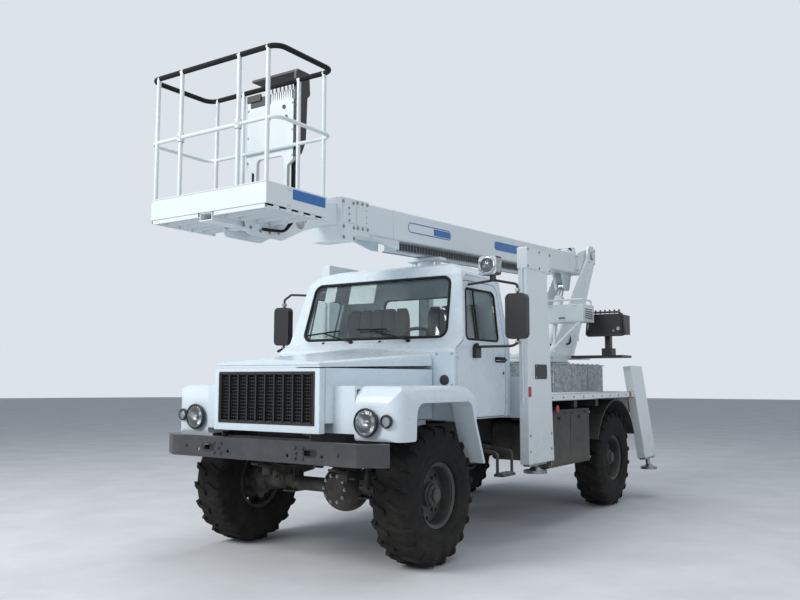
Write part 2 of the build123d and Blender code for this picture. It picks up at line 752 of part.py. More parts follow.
deck = block((-deck_half, deck_half), (deck_front, deck_rear), (deck_low, deck_top))
for cut in both(block((700, deck_half + 1), (wheelbase - 640, wheelbase + 570),
                      (deck_low - 1, deck_low + 25))):
    deck = deck - cut
save("deck", deck)

crossbeam_y = (1430, 1800)
crossbeam_z = (1050, 1420)
rest_y = (1440, 1520)
rest_top = 2585
rest = [block((-60, 60), rest_y, (crossbeam_z[1] + seat, rest_top - 25)),
        block((-190, 190), (rest_y[0] - 20, rest_y[1] + 20), (rest_top - 30, rest_top))]
for s in (1, -1):
    rest.append(rod((s * 55, 1480, 2380), (s * 150, 1480, rest_top - 25), 25))
save("boom_rest", fuse(rest))

# Front outriggers: flat upright cases on a crossbeam, each with a leg and foot that slide down

case_wall = 12
cap_over = 10
cap_z = (post_top - 190, post_top)
post_x = (post_outer - post_thick, post_outer)
cavity_x = (post_x[0] + case_wall, post_x[1] - case_wall)
cavity_y = (post_front + 30, post_front + post_wide_top - 30)
crossbeam = block((-post_x[0] - 5, post_x[0] + 5), crossbeam_y, crossbeam_z)
crossbeam = crossbeam - block((-frame_half - 30, frame_half + 30), (crossbeam_y[0] - 1, crossbeam_y[1] + 1),
                              (0, deck_low + seat))
post = prism("X", [(post_front, post_low, 0), (post_front, cap_z[0] + 10, 0),
                   (post_front + post_wide_top, cap_z[0] + 10, 0),
                   (post_front + post_wide_low, post_low, 0)], *post_x)
post = post + prism("X", [(post_front - cap_over, cap_z[0], 0), (post_front - cap_over, cap_z[1], 12),
                          (post_front + 500, cap_z[1], 12), (post_front + 500, cap_z[0], 0)],
                    post_x[0] - 6, post_x[1] + 8)
hatch = block((post_x[1] - 4, post_x[1] + 8), (post_front + 130, post_front + 380), (1395, 1535))
post = post + hatch
cavity = block(cavity_x, cavity_y, (post_low - 1, post_top - 30))
posts = fuse([crossbeam, *both(post)])
for cut in both(cavity):
    posts = posts - cut
save("front_outriggers", posts)

foot_z = 560
foot_thick = 26
leg_x = (cavity_x[0] + slide, cavity_x[1] - slide)
leg_mid_x = (leg_x[0] + leg_x[1]) / 2
leg_mid_y = (cavity_y[0] + cavity_y[1]) / 2
front_leg = fuse([block(leg_x, (cavity_y[0] + slide, cavity_y[1] - slide), (post_low - 20, 2100)),
                  rod((leg_mid_x, leg_mid_y, foot_z + 20), (leg_mid_x, leg_mid_y, post_low), 26),
                  rod((leg_mid_x, leg_mid_y, foot_z), (leg_mid_x, leg_mid_y, foot_z + foot_thick), 105)])
save("front_leg_left", front_leg)
save("front_leg_right", other(front_leg))

# Rear outriggers: cases that lean outwards at the foot, on the tail beam

rear_case_x = deck_half - 38
rear_case_half_long = 210
rear_case_half_thick = 46
rear_case_z = (470, 1560)
rear_foot_drop = 840
tail_beam_y = (rear_leg_y - 190, rear_leg_y + 190)
tail_beam_z = (frame_high + 10, deck_top)


def leaned(shape):
    """Lean a piece drawn upright about the case at the deck's level, its foot outwards."""
    about = Pos(rear_case_x, rear_leg_y, deck_low)
    return about * Rot(0, -rear_leg_tilt, 0) * about.inverse() * shape


def rear_block(inset, z):
    """An upright box about the case's middle, smaller than the case by an inset from its walls."""
    half_thick = rear_case_half_thick - inset
    half_long = rear_case_half_long - inset - (18 if inset else 0)
    return block((rear_case_x - half_thick, rear_case_x + half_thick),
                 (rear_leg_y - half_long, rear_leg_y + half_long), z)


case = rear_block(0, rear_case_z)
tail_beam = block((-rear_case_x + 52, rear_case_x - 52), tail_beam_y, tail_beam_z)
tail_beam = tail_beam - block((-frame_half - 5, frame_half + 5), (tail_beam_y[0] - 1, tail_beam_y[1] + 1),
                              (0, deck_low + seat))
rear_frame = fuse([tail_beam, *both(leaned(case))])
for cut in both(leaned(rear_block(case_wall, (rear_case_z[0] - 1, rear_case_z[1] - 30)))):
    rear_frame = rear_frame - cut
save("rear_outriggers", rear_frame)

rear_foot_x = rear_case_x + rear_foot_drop * sin(radians(rear_leg_tilt))
rear_foot_z = deck_low - rear_foot_drop * cos(radians(rear_leg_tilt))
rear_leg = rear_block(case_wall + slide, (rear_case_z[0] - 20, 1300))
rear_leg = rear_leg + rod((rear_case_x, rear_leg_y, deck_low - rear_foot_drop - 5),
                          (rear_case_x, rear_leg_y, rear_case_z[0]), 26)
rear_leg = leaned(rear_leg) + rod((rear_foot_x, rear_leg_y, rear_foot_z - 20),
                                  (rear_foot_x, rear_leg_y, rear_foot_z + 8), 95)
save("rear_leg_left", rear_leg)
save("rear_leg_right", other(rear_leg))

# Side boxes, mudguards and tail lamps

side_box = block((700, deck_half - 20), (deck_front + 20, wheelbase - 810), (560, 1100))
side_box = side_box - block((690, 900), (deck_front, wheelbase - 1070), (550, 1000))
side_box = side_box + block((frame_half + seat, 710), (wheelbase - 970, wheelbase - 910), (900, 960))
save("side_boxes", both(side_box))

guard_z = tyre_radius + 20
guard_radius = 630
guard_skin = 12
guard_x = (740, deck_half - 10)
guard = rod((guard_x[0], wheelbase, guard_z), (guard_x[1], wheelbase, guard_z), guard_radius)
guard = guard - rod((guard_x[0] - 1, wheelbase, guard_z), (guard_x[1] + 1, wheelbase, guard_z),
                    guard_radius - guard_skin)
guard = common(guard, block((700, deck_half), (wheelbase - 770, wheelbase + 630), (760, deck_low)))
guard = guard + block((frame_half + seat, 745), (wheelbase - 25, wheelbase + 25), (1125, 1170))
save("rear_mudguards", both(guard))
lamp_y = (tail_beam_y[1] + seat, tail_beam_y[1] + 60)
save("tail_lamps", [block(about_x(s, 620, 900), lamp_y, (1040, 1130)) for s in (1, -1)])

# Pedestal and slewing ring

ring_radius = 470
ring_high = 28
edge = 14
pedestal_y = (slew_y - pedestal_long / 2, slew_y + pedestal_long / 2)
pedestal = fuse([prism("Z", rect((-pedestal_half, pedestal_half), pedestal_y, 12), deck_top + seat,
                       pedestal_top - 12),
                 block((-pedestal_half - edge, pedestal_half + edge),
                       (pedestal_y[0] - edge, pedestal_y[1] + edge), (pedestal_top - 12, pedestal_top)),
                 Pos(0, slew_y, pedestal_top + ring_high / 2) * Cylinder(ring_radius, ring_high)])
pedestal = pedestal - block((-pedestal_half + case_wall, pedestal_half - case_wall),
                            (pedestal_y[0] + case_wall, pedestal_y[1] - case_wall),
                            (deck_top - 1, pedestal_top - 2 * case_wall))
save("pedestal", pedestal)

# Turret: a platform with two raking side plates that carry the boom

ring_top = pedestal_top + ring_high + fit
platform_low = ring_top + 45
platform_top = platform_low + 40
platform_half = 430
plate_x = (boom_width / 2 + 30, boom_width / 2 + 62)
pin_radius = 45
cyl_low = (slew_y + 550, platform_top + 100)
cyl_pin = 30
ear_x = (62, 92)
turret = [Pos(0, slew_y, (ring_top + platform_low) / 2)
          * Cylinder(ring_radius, platform_low - ring_top + 0.5),
          block((-platform_half, platform_half), (slew_y - 480, slew_y + 900), (platform_low, platform_top)),
          block((-plate_x[0] - 5, plate_x[0] + 5), (slew_y + 1030, slew_y + 1150), (1900, 2060)),
          rod((-plate_x[1] - 18, pivot_y, pivot_z), (plate_x[1] + 18, pivot_y, pivot_z), pin_radius),
          rod((-ear_x[1], *cyl_low), (ear_x[1], *cyl_low), cyl_pin)]
side_plate = [(slew_y + 120, platform_top - 5, 0), (slew_y + 890, platform_top - 5, 0),
              (pivot_y + arm_reach, pivot_z - 40, 60), (pivot_y + arm_reach, pivot_z + arm_reach, 110),
              (pivot_y - arm_reach, pivot_z + arm_reach, 110), (pivot_y - 160, pivot_z - 60, 60),
              (slew_y + 620, 2150, 200)]
cylinder_ear = [(cyl_low[0] - 90, platform_top - 5, 0), (cyl_low[0] + 90, platform_top - 5, 0),
                (cyl_low[0] + 50, cyl_low[1] + 50, 45), (cyl_low[0] - 50, cyl_low[1] + 50, 45)]
turret.extend(both(prism("X", side_plate, *plate_x)))
turret.extend(both(prism("X", cylinder_ear, *ear_x)))
save("turret_frame", fuse(turret))

# Valve box on its struts, and the turret's control console

box_z = (2070, 2270)
box_y = (slew_y - 100, slew_y + 240)
strut_foot = (380, slew_y - 240)
hoop_y = (box_y[0] + 25, box_y[1] - 25)
hoop = [(250, hoop_y[0], box_z[1] - 2), (250, hoop_y[0], box_z[1] + 60), (720, hoop_y[0], box_z[1] + 60),
        (720, hoop_y[1], box_z[1] + 60), (720, hoop_y[1], box_z[1] - 2)]
valve_box = fuse([block((232, 745), box_y, box_z),
                  rod((700, box_y[0] + 30, box_z[0] + 10), (*strut_foot, platform_top + 20), 16),
                  rod((260, box_y[0] + 30, box_z[0] + 10), (*strut_foot, platform_top + 20), 16),
                  block((340, 420), (strut_foot[1] - 60, strut_foot[1] + 60),
                        (platform_top + seat, platform_top + 30)),
                  block((232, 262), (box_y[1] - 40, box_y[1]), (platform_top + seat, box_z[0] + 10)),
                  pipe(hoop, 12, 40)])
save("turret_box", valve_box)

console_x = (640, 1080)
console_z = (1930, 2160)
console_y = (slew_y + 320, slew_y + 530)
guard_y = console_y[0] - 10
guard_hoop = [(665, guard_y, console_z[0] + 20), (665, guard_y, console_z[1] + 35),
              (1055, guard_y, console_z[1] + 35), (1055, guard_y, console_z[0] + 20)]
console = fuse([block(console_x, console_y, console_z),
                block((820, 880), (console_y[0] + 60, console_y[1] - 60), (1760, console_z[0] + 5)),
                block((platform_half + seat, 1060), (console_y[0] - 40, console_y[1] + 90),
                      (platform_low + 8, platform_low + 36)),
                block((790, 910), (console_y[0] + 30, console_y[1] - 30), (platform_low + 30, 1770)),
                pipe(guard_hoop, 12, 50)])
save("control_console", console)

# Lift cylinder between the platform and the boom

pin_depth = 172
pin_reach = 560
slope = radians(boom_slope)


def boom_point(reach, height):
    """Y and Z of a point at a reach along the boom from its pivot, and a height over its top line."""
    return (pivot_y - reach * cos(slope) - height * sin(slope),
            pivot_z - reach * sin(slope) + height * cos(slope))


def raked(shape):
    """Lean a piece drawn level into the boom's resting slope, about the pivot."""
    about = Pos(0, pivot_y, pivot_z)
    return about * Rot(boom_slope, 0, 0) * about.inverse() * shape


barrel_radius = 62
piston_radius = 38
eye_radius = 52
eye_y, eye_z = boom_point(pin_reach, -boom_height - pin_depth)
foot_pin = Vector(0, *cyl_low)
eye = Vector(0, eye_y, eye_z)
along = (eye - foot_pin).normalized()
barrel_top = eye - along * 190
barrel = rod(tuple(foot_pin + along * 40), tuple(barrel_top), barrel_radius)
barrel = barrel + rod((-ear_x[0] + 4, *cyl_low), (ear_x[0] - 4, *cyl_low), eye_radius)
barrel = barrel - rod((-ear_x[0], *cyl_low), (ear_x[0], *cyl_low), cyl_pin + fit)
barrel = barrel - rod(tuple(foot_pin + along * 100), tuple(barrel_top + along * 10), piston_radius + fit)
save("lift_barrel", barrel)
piston = rod(tuple(foot_pin + along * 110), tuple(eye - along * 30), piston_radius)
piston = piston + rod((-44, eye_y, eye_z), (44, eye_y, eye_z), eye_radius)
save("lift_rod", piston)

# Boom: three telescoping box sections, drawn level with their pivot and then raked

step_in = 22
mid_w = boom_width - 2 * step_in
mid_h = boom_height - 2 * step_in
in_w = mid_w - 2 * step_in
in_h = mid_h - 2 * step_in
collar_w = boom_width + 24
collar_long = 190


def boom_box(width, height, drop, near, far, r):
    """A full box from a near to a far reach, its top a drop under the pivot's line."""
    return prism("Y", rect((-width / 2, width / 2), (pivot_z - drop - height, pivot_z - drop), r),
                 pivot_y - far, pivot_y - near)


def boom_tube(width, height, wall, near, far, drop):
    """A hollow box section."""
    inner = boom_box(width - 2 * wall, height - 2 * wall, drop + wall, near - 1, far + 1, 8)
    return boom_box(width, height, drop, near, far, 14) - inner


def collar(drop, height, near, low):
    """A block of plates round a section's mouth, reaching down to a depth under the pivot's line."""
    return block((-collar_w / 2, collar_w / 2), (pivot_y - near - collar_long, pivot_y - near),
                 (pivot_z - drop - height - low, pivot_z + 4))


def yz(reach, depth, r=0):
    """A corner at a reach from the pivot and a depth under its line."""
    return (pivot_y - reach, pivot_z - depth, r)


boom_hole = 46
lug_x = (boom_hole, boom_hole + 28)
ear = [yz(420, 0), yz(420, boom_height), yz(60, boom_height, 60), yz(-85, 80, 60), yz(-85, -85, 84),
       yz(85, -85, 84)]
ear = prism("X", ear, boom_width / 2 - 2, boom_width / 2 + 22)
lug_depth = boom_height + pin_depth + 62
lug = [yz(pin_reach + 150, boom_height - 4), yz(pin_reach - 150, boom_height - 4),
       yz(pin_reach - 62, lug_depth, 55), yz(pin_reach + 62, lug_depth, 55)]
tray_reach = (1700, 4560)
tray_low = 82
gusset = [yz(4600, boom_height - 2), yz(5080, boom_height - 2), yz(4720, boom_height + 78),
          yz(4600, boom_height + 78)]
outer = [boom_tube(boom_width, boom_height, boom_wall, 150, outer_long, 0),
         collar(step_in, mid_h, outer_long, step_in + 30),
         block((-70, 70), (pivot_y - tray_reach[1], pivot_y - tray_reach[0]),
               (pivot_z - boom_height - tray_low, pivot_z - boom_height + 2)),
         *both(ear), *both(prism("X", lug, *lug_x)), *both(prism("X", gusset, 112, 126))]
outer = fuse(outer) - boom_box(mid_w + 2 * fit, mid_h + 2 * fit, step_in - fit, outer_long - 10,
                               outer_long + collar_long + 10, 14)
outer = outer - rod((-400, pivot_y, pivot_z), (400, pivot_y, pivot_z), pin_radius + fit)
save("boom_outer", raked(outer))

mid_far = outer_long + 200
middle = boom_tube(mid_w, mid_h, 7, 620, mid_far, step_in) + collar(2 * step_in, in_h, mid_far - 10, 130)
middle = middle - boom_box(in_w + 2 * fit, in_h + 2 * fit, 2 * step_in - fit, mid_far - 30,
                           mid_far + collar_long + 10, 14)
save("boom_middle", raked(middle))

in_far = mid_far + 330
tip_z = 2605
tip_pin = 26
cheek_x = (78, 100)
end_y, end_z = boom_point(in_far, -2 * step_in - in_h / 2)
cheek = [(end_y + 110, end_z + 80, 0), (end_y - 60, end_z + 80, 30), (tip_y - 58, tip_z + 20, 50),
         (tip_y - 20, tip_z - 60, 50), (tip_y + 60, tip_z - 50, 40), (end_y + 110, end_z - 80, 0)]
inner = fuse([raked(boom_tube(in_w, in_h, 6, 700, in_far, 2 * step_in)), *both(prism("X", cheek, *cheek_x)),
              rod((-98, end_y - 110, end_z - 60), (98, end_y - 110, end_z - 60), 30),
              rod((-132, tip_y, tip_z), (132, tip_y, tip_z), tip_pin)])
save("boom_inner", inner)

# Basket: a floor tray on its bracket

pan_floor = basket_floor_low + 32
pan_top = basket_floor_low + toe_board
pan_edge = 5
basket_y = (basket_front, basket_front + basket_deep)
pan = prism("Z", rect((-basket_half, basket_half), basket_y, 6), basket_floor_low, pan_top)
pan = pan - prism("Z", rect((-basket_half + pan_edge, basket_half - pan_edge),
                            (basket_y[0] + pan_edge, basket_y[1] - pan_edge), 2), pan_floor, pan_top + 1)
save("basket_floor", pan)

hanger_x = (106, 122)
hanger = [(tip_y + 50, tip_z + 50, 45), (tip_y + 50, tip_z - 50, 45), (tip_y - 200, 2440, 40),
          (tip_y - 560, 2440, 30), (tip_y - 600, basket_floor_low - seat, 0),
          (tip_y - 200, basket_floor_low - seat, 0), (tip_y - 50, tip_z + 50, 45)]
channel_half = 64
channel_wall = 8
channel_z = (basket_floor_low - 62, basket_floor_low - seat)
channel = block((-channel_half, channel_half), (basket_y[0] + 8, basket_y[1] - 40), channel_z)
channel = channel - block((-channel_half + channel_wall, channel_half - channel_wall),
                          (basket_y[0], basket_y[1]),
                          (channel_z[0] + channel_wall, channel_z[1] - channel_wall))
cross_plates = [block((-hanger_x[0] - 2, hanger_x[0] + 2), (tip_y + y - 60, tip_y + y),
                      (channel_z[0] - 10, channel_z[0] + 2)) for y in (-240, -500)]
bracket = fuse([*both(prism("X", hanger, *hanger_x)), channel, *cross_plates])
save("basket_bracket", bracket - rod((-300, tip_y, tip_z), (300, tip_y, tip_z), tip_pin + fit))

# Basket rails, the sliding gate bar and the control stand

post_radius = 17
bar_radius = 15
rail_x = basket_half + rail_over
rail_bend = 80
corner_x = basket_half - rail_inset
rail_y = (basket_y[0] + rail_inset, basket_y[1] - rail_inset)
gate_x = (-300, 285)
loop_z = rail_top_z - bar_radius
basket_posts = [(x, rail_y[0]) for x in (-corner_x, *gate_x, corner_x)]
basket_posts += [(x, rail_y[1]) for x in (-corner_x, -262, 312, corner_x)]


def loop(z, radius):
    """A closed rail with rounded corners at a height."""
    path = Pos(0, 0, z) * outline(rect((-rail_x, rail_x), rail_y, rail_bend)).wires()[0]
    return sweep(Plane(origin=path @ 0, z_dir=path % 0) * Circle(radius), path=path)


mid_loop = loop(rail_mid_z, bar_radius)
mid_loop = mid_loop - block((gate_x[0] - 30, gate_x[1] + 30), (rail_y[0] - 30, rail_y[0] + 30),
                            (rail_mid_z - 30, rail_mid_z + 30))
uprights = [rod((x, y, pan_floor + seat), (x, y, loop_z), post_radius) for x, y in basket_posts]
save("basket_rails", loop(loop_z, bar_radius) + mid_loop + uprights)

gate = rod((gate_x[0], rail_y[0], rail_mid_z), (gate_x[1], rail_y[0], rail_mid_z), bar_radius)
for x in gate_x:
    gate = gate + Pos(x, rail_y[0], rail_mid_z) * Cylinder(gate_collar, 60)
for x in gate_x:
    gate = gate - Pos(x, rail_y[0], rail_mid_z) * Cylinder(post_radius + fit, 80)
save("gate_bar", gate)

stand_y = (basket_y[1] + seat, basket_y[1] + 24)
stand_top = 3600
stand_foot = basket_floor_low + 30
leg_top = 3095
stand = [(-152, stand_foot, 0), (-152, 2985, 20), (-240, 3035, 25), (-240, stand_top, 12),
         (245, stand_top, 12), (245, 3045, 12), (190, 3010, 20), (190, stand_foot, 0),
         (150, stand_foot, 0), (150, leg_top, 40), (-125, leg_top, 40), (-125, stand_foot, 0)]
lid_x = (-212, 258)
lid_y = (stand_y[1] - 4, stand_y[1] + 130)
lid_z = (3742, 3754)
side_panel = [(stand_y[0] + 6, 3072, 0), (stand_y[0] + 6, lid_z[0] + 2, 0), (lid_y[1], lid_z[0] + 2, 0),
              (lid_y[1] + 12, 3590, 12), (lid_y[1] - 20, 3556, 12), (lid_y[1] - 32, 3210, 20),
              (lid_y[1] - 80, 3105, 10)]
valves = block((-60, 232), (stand_y[1] - 1, stand_y[1] + 90), (3380, 3560))
control_stand = [prism("Y", stand, *stand_y), prism("X", side_panel, 240, lid_x[1]), valves,
                 block(lid_x, lid_y, lid_z)]
save("control_stand", fuse(control_stand))
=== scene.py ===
"""Cherry picker truck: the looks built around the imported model.

All sizes in the pieces are millimetres, with Y counted from the front axle as in the part's source.
"""

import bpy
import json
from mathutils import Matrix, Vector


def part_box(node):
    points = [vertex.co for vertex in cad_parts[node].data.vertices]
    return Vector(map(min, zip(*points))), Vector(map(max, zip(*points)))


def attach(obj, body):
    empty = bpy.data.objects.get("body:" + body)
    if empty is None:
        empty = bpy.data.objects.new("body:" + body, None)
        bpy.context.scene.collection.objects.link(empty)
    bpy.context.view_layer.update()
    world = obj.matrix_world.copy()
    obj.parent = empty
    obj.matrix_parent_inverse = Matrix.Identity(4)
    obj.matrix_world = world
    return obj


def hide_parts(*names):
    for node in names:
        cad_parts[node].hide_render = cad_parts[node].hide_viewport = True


bl_info = {
    "name": "Cherry Picker Truck",
    "version": (1, 0, 0),
    "blender": (4, 5, 0),
    "location": "View3D > Sidebar > Cherry Picker",
    "description": "Dresses the packed model of a bonneted cherry picker truck",
    "category": "Object",
}

import bpy
import bmesh
import json
from math import atan2, cos, hypot, pi, radians, sin, tan
from mathutils import Matrix, Vector

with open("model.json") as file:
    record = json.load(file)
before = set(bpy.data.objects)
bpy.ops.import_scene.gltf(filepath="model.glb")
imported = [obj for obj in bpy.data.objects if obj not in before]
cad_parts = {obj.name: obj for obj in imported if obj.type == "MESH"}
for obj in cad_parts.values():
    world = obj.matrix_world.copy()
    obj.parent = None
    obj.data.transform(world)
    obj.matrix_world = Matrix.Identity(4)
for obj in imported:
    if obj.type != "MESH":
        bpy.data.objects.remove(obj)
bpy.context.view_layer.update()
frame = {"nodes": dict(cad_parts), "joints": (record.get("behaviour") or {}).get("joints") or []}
nodes = frame["nodes"]

wheel_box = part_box("tyre_front_left")
axle_y = (wheel_box[0].y + wheel_box[1].y) / 2
MM = 0.001
X, Y, Z = Vector((1, 0, 0)), Vector((0, 1, 0)), Vector((0, 0, 1))
sides = ((1, "left"), (-1, "right"))

# Places that several pieces share, in the truck's own millimetres

def joint_place(name):
    """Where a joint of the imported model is."""
    x, y, z = next(joint["pos_m"] for joint in frame["joints"] if joint["name"] == name)
    return round(x / MM), round((y - axle_y) / MM), round(z / MM)


wheel_x, wheelbase, wheel_z = joint_place("roll_rear_left")
turntable_y = joint_place("turret_slew")[1]
pivot_y, pivot_z = joint_place("boom_lift")[1:]
tip_y, tip_z = joint_place("basket_level")[1:]
boom_x, collar_x = 150, 162
basket_front, basket_rear = -1408, -812
pan_x, pan_front, pan_rear, pan_top = 574, -1424, -796, 2593
rail_middle, rail_top = 3150, 3645
wheels = (("front_left", 1, 0), ("front_right", -1, 0), ("rear_left", 1, wheelbase),
          ("rear_right", -1, wheelbase))


def at(x, y, z):
    """A point in the row frame, in metres, from the truck's own millimetres."""
    return Vector((x * MM, y * MM + axle_y, z * MM))


def linear(code):
    """A colour's linear values from its sRGB hex code."""
    parts = [int(code[i:i + 2], 16) / 255 for i in (1, 3, 5)]
    return tuple(c / 12.92 if c <= 0.04045 else ((c + 0.055) / 1.055) ** 2.4 for c in parts)


def shade(colour, share):
    """A colour made darker or lighter by a share."""
    return tuple(min(1.0, c * share) for c in colour[:3])


# Sizes and colours that a user may change

def tint(name, text, code):
    """A colour property whose default is an sRGB hex code."""
    return bpy.props.FloatVectorProperty(name=name, description=text, subtype="COLOR", size=3, min=0, max=1,
                                         default=linear(code))


def size(name, text, value, low, high):
    """A length property in metres whose default and limits are given in millimetres."""
    return bpy.props.FloatProperty(name=name, description=text, subtype="DISTANCE", unit="LENGTH",
                                   default=value * MM, min=low * MM, max=high * MM)


class TruckColours(bpy.types.PropertyGroup):
    """Colours of the truck's finishes"""
    cab: tint("Cab enamel", "Enamel of the cab, bonnet, wings and doors", "#DDE9F0")
    lift: tint("Lift enamel", "Enamel of the boom, turret, outriggers and basket", "#E4ECEF")
    chassis: tint("Chassis enamel", "Enamel of the frame, axles and springs", "#1D1E20")
    bumper: tint("Bumper enamel", "Enamel of the bumper", "#31343A")
    rim: tint("Wheel enamel", "Enamel of the wheel discs", "#2B2D30")
    band: tint("Band film", "Film of the plain bands on the boom and basket", "#2F6FB4")
    seat: tint("Seat vinyl", "Cover of the cab seats", "#4A4D52")
    dust: tint("Road dust", "Dust that gathers low down on the truck", "#8B8478")


class TruckSizes(bpy.types.PropertyGroup):
    """Sizes of the truck's small fittings"""
    lug: size("Tread depth", "Height of the tread lugs over the carcass", 22, 12, 24)
    sleeve: size("Rail sleeve", "Radius of the foam sleeve on the basket's top rail", 19, 17, 22)
    gasket: size("Window gasket", "Radius of the rubber round the windows", 13, 8, 18)
    bolt: size("Collar bolt", "Radius of the large bolt heads on the boom's collars", 11, 6, 14)


def colours():
    """The colours that the user has set."""
    return bpy.context.scene.cherry_colours


def sizes():
    """The sizes that the user has set."""
    return bpy.context.scene.cherry_sizes


# Materials

def add(tree, kind, settings=None, links=None):
    """Adds one node with its own values and its input links, and gives it back."""
    node = tree.nodes.new("ShaderNode" + kind)
    for name, value in (settings or {}).items():
        if isinstance(name, int) or name in node.inputs:
            node.inputs[name].default_value = value
        else:
            setattr(node, name, value)
    for name, source in (links or {}).items():
        tree.links.new(source, node.inputs[name])
    return node


def start(name):
    """A new material with only its output, and its object coordinates in metres."""
    material = bpy.data.materials.new(name)
    material.use_nodes = True
    tree = material.node_tree
    tree.nodes.clear()
    return material, tree, add(tree, "TexCoord").outputs["Object"]


def close(tree, settings, links):
    """Adds the surface shader and joins it to the output."""
    full = dict(settings)
    if "Base Color" in full:
        full["Base Color"] = (*full["Base Color"][:3], 1)
    shader = add(tree, "BsdfPrincipled", full, links)
    add(tree, "OutputMaterial", {}, {"Surface": shader.outputs["BSDF"]})


def blotches(tree, place, size_mm, low, high):
    """A soft cloud pattern whose patches are about one size, from low to high."""
    cloud = add(tree, "TexNoise", {"Scale": 1000 / size_mm, "Detail": 4.0, "Roughness": 0.6},
                {"Vector": place})
    spread = add(tree, "MapRange", {"From Min": 0.35, "From Max": 0.65, "To Min": low, "To Max": high},
                 {"Value": cloud.outputs["Fac"]})
    return spread.outputs["Result"]


# Where a Mix node that mixes colours has its sockets
share_socket, first_socket, second_socket, result_socket = 0, 6, 7, 2


def mixed(tree, share, first, second):
    """A colour between two, each a colour or a socket, by a share socket."""
    settings, links = {"data_type": "RGBA"}, {share_socket: share}
    for socket, value in ((first_socket, first), (second_socket, second)):
        if isinstance(value, bpy.types.NodeSocket):
            links[socket] = value
        else:
            settings[socket] = (*value[:3], 1)
    return add(tree, "Mix", settings, links).outputs[result_socket]


def low_down(tree, place, high_m, low_m, most):
    """A share that grows from 0 at one height to its most at a lower one, broken up by clouds."""
    height = add(tree, "SeparateXYZ", {}, {"Vector": place}).outputs["Z"]
    ramp = add(tree, "MapRange", {"From Min": high_m, "From Max": low_m, "To Min": 0.0, "To Max": most},
               {"Value": height})
    cloud = blotches(tree, place, 130, 0.25, 1.0)
    share = add(tree, "Math", {"operation": "MULTIPLY"}, {0: ramp.outputs["Result"], 1: cloud})
    return share.outputs["Value"]


def relief(tree, height, depth_mm, normal=None, strength=1.0):
    """A bump from a height socket, as deep as a real depth."""
    links = {"Height": height}
    if normal is not None:
        links["Normal"] = normal
    return add(tree, "Bump", {"Distance": depth_mm * MM, "Strength": strength}, links).outputs["Normal"]


def soft_edges(tree, radius_mm):
    """Normals that round a pressed sheet's edges."""
    return add(tree, "Bevel", {"samples": 4, "Radius": radius_mm * MM}).outputs["Normal"]


def enamel(name, colour, rough, edge_mm=4, dust_top=1.15, dust=0.35, coat=0.25):
    """Alkyd enamel sprayed on sheet or plate: an even gloss, faint orange peel, and road dust low down."""
    material, tree, place = start(name)
    body = mixed(tree, blotches(tree, place, 420, 0.0, 1.0), shade(colour, 0.985), shade(colour, 1.01))
    dusty = low_down(tree, place, dust_top, 0.35, dust)
    body = mixed(tree, dusty, body, colours().dust)
    gloss = blotches(tree, place, 160, rough - 0.015, rough + 0.02)
    dull = add(tree, "Math", {"operation": "MULTIPLY_ADD", 1: 0.5}, {0: dusty, 2: gloss})
    # Real orange peel is 2 to 3 mm wide, drawn wider so that it shows.
    peel_mm = 9
    peel = add(tree, "TexNoise", {"Scale": 1000 / peel_mm, "Detail": 1.0}, {"Vector": place})
    close(tree, {"Metallic": 0.0, "IOR": 1.5, "Coat Weight": coat, "Coat Roughness": 0.12},
          {"Base Color": body, "Roughness": dull.outputs["Value"],
           "Normal": relief(tree, peel.outputs["Fac"], 0.12, soft_edges(tree, edge_mm), 0.25)})
    return material


def rubber(name, colour, rough, grain_mm, dust):
    """Moulded rubber: matt, with a fine sand-like skin."""
    material, tree, place = start(name)
    body = mixed(tree, blotches(tree, place, 60, 0.0, 1.0), shade(colour, 0.8), shade(colour, 1.25))
    body = mixed(tree, low_down(tree, place, 1.0, 0.0, dust), body, colours().dust)
    grain = add(tree, "TexNoise", {"Scale": 1000 / grain_mm, "Detail": 3.0}, {"Vector": place})
    close(tree, {"Roughness": rough, "IOR": 1.52, "Specular IOR Level": 0.25},
          {"Base Color": body, "Normal": relief(tree, grain.outputs["Fac"], 0.8, None, 0.5)})
    return material


def plastic(name, colour, rough, grain_mm=4):
    """Moulded ABS: an even colour with the tool's fine leather-like grain."""
    material, tree, place = start(name)
    body = mixed(tree, blotches(tree, place, 90, 0.0, 1.0), shade(colour, 0.9), shade(colour, 1.1))
    grain = add(tree, "TexVoronoi", {"Scale": 1000 / grain_mm}, {"Vector": place})
    skin = relief(tree, grain.outputs["Distance"], 0.3, soft_edges(tree, 3), 0.4)
    close(tree, {"Roughness": rough, "IOR": 1.54}, {"Base Color": body, "Normal": skin})
    return material


def metal(name, colour, rough, wide_mm, long_axis="Z", scratch=0.06):
    """Bare or plated metal: brushed or rolled, with faint lines along one axis."""
    material, tree, place = start(name)
    stretch = {"X": (0.04, 1, 1), "Y": (1, 0.04, 1), "Z": (1, 1, 0.04)}[long_axis]
    lined = add(tree, "Mapping", {"Scale": stretch}, {"Vector": place})
    lines = add(tree, "TexNoise", {"Scale": 1000 / wide_mm, "Detail": 5.0},
                {"Vector": lined.outputs["Vector"]})
    rough_map = add(tree, "MapRange", {"To Min": rough - scratch, "To Max": rough + scratch},
                    {"Value": lines.outputs["Fac"]})
    body = mixed(tree, blotches(tree, place, 70, 0.0, 1.0), shade(colour, 0.86), shade(colour, 1.06))
    close(tree, {"Metallic": 1.0}, {"Base Color": body, "Roughness": rough_map.outputs["Result"],
                                    "Normal": relief(tree, lines.outputs["Fac"], 0.15, None, 0.3)})
    return material


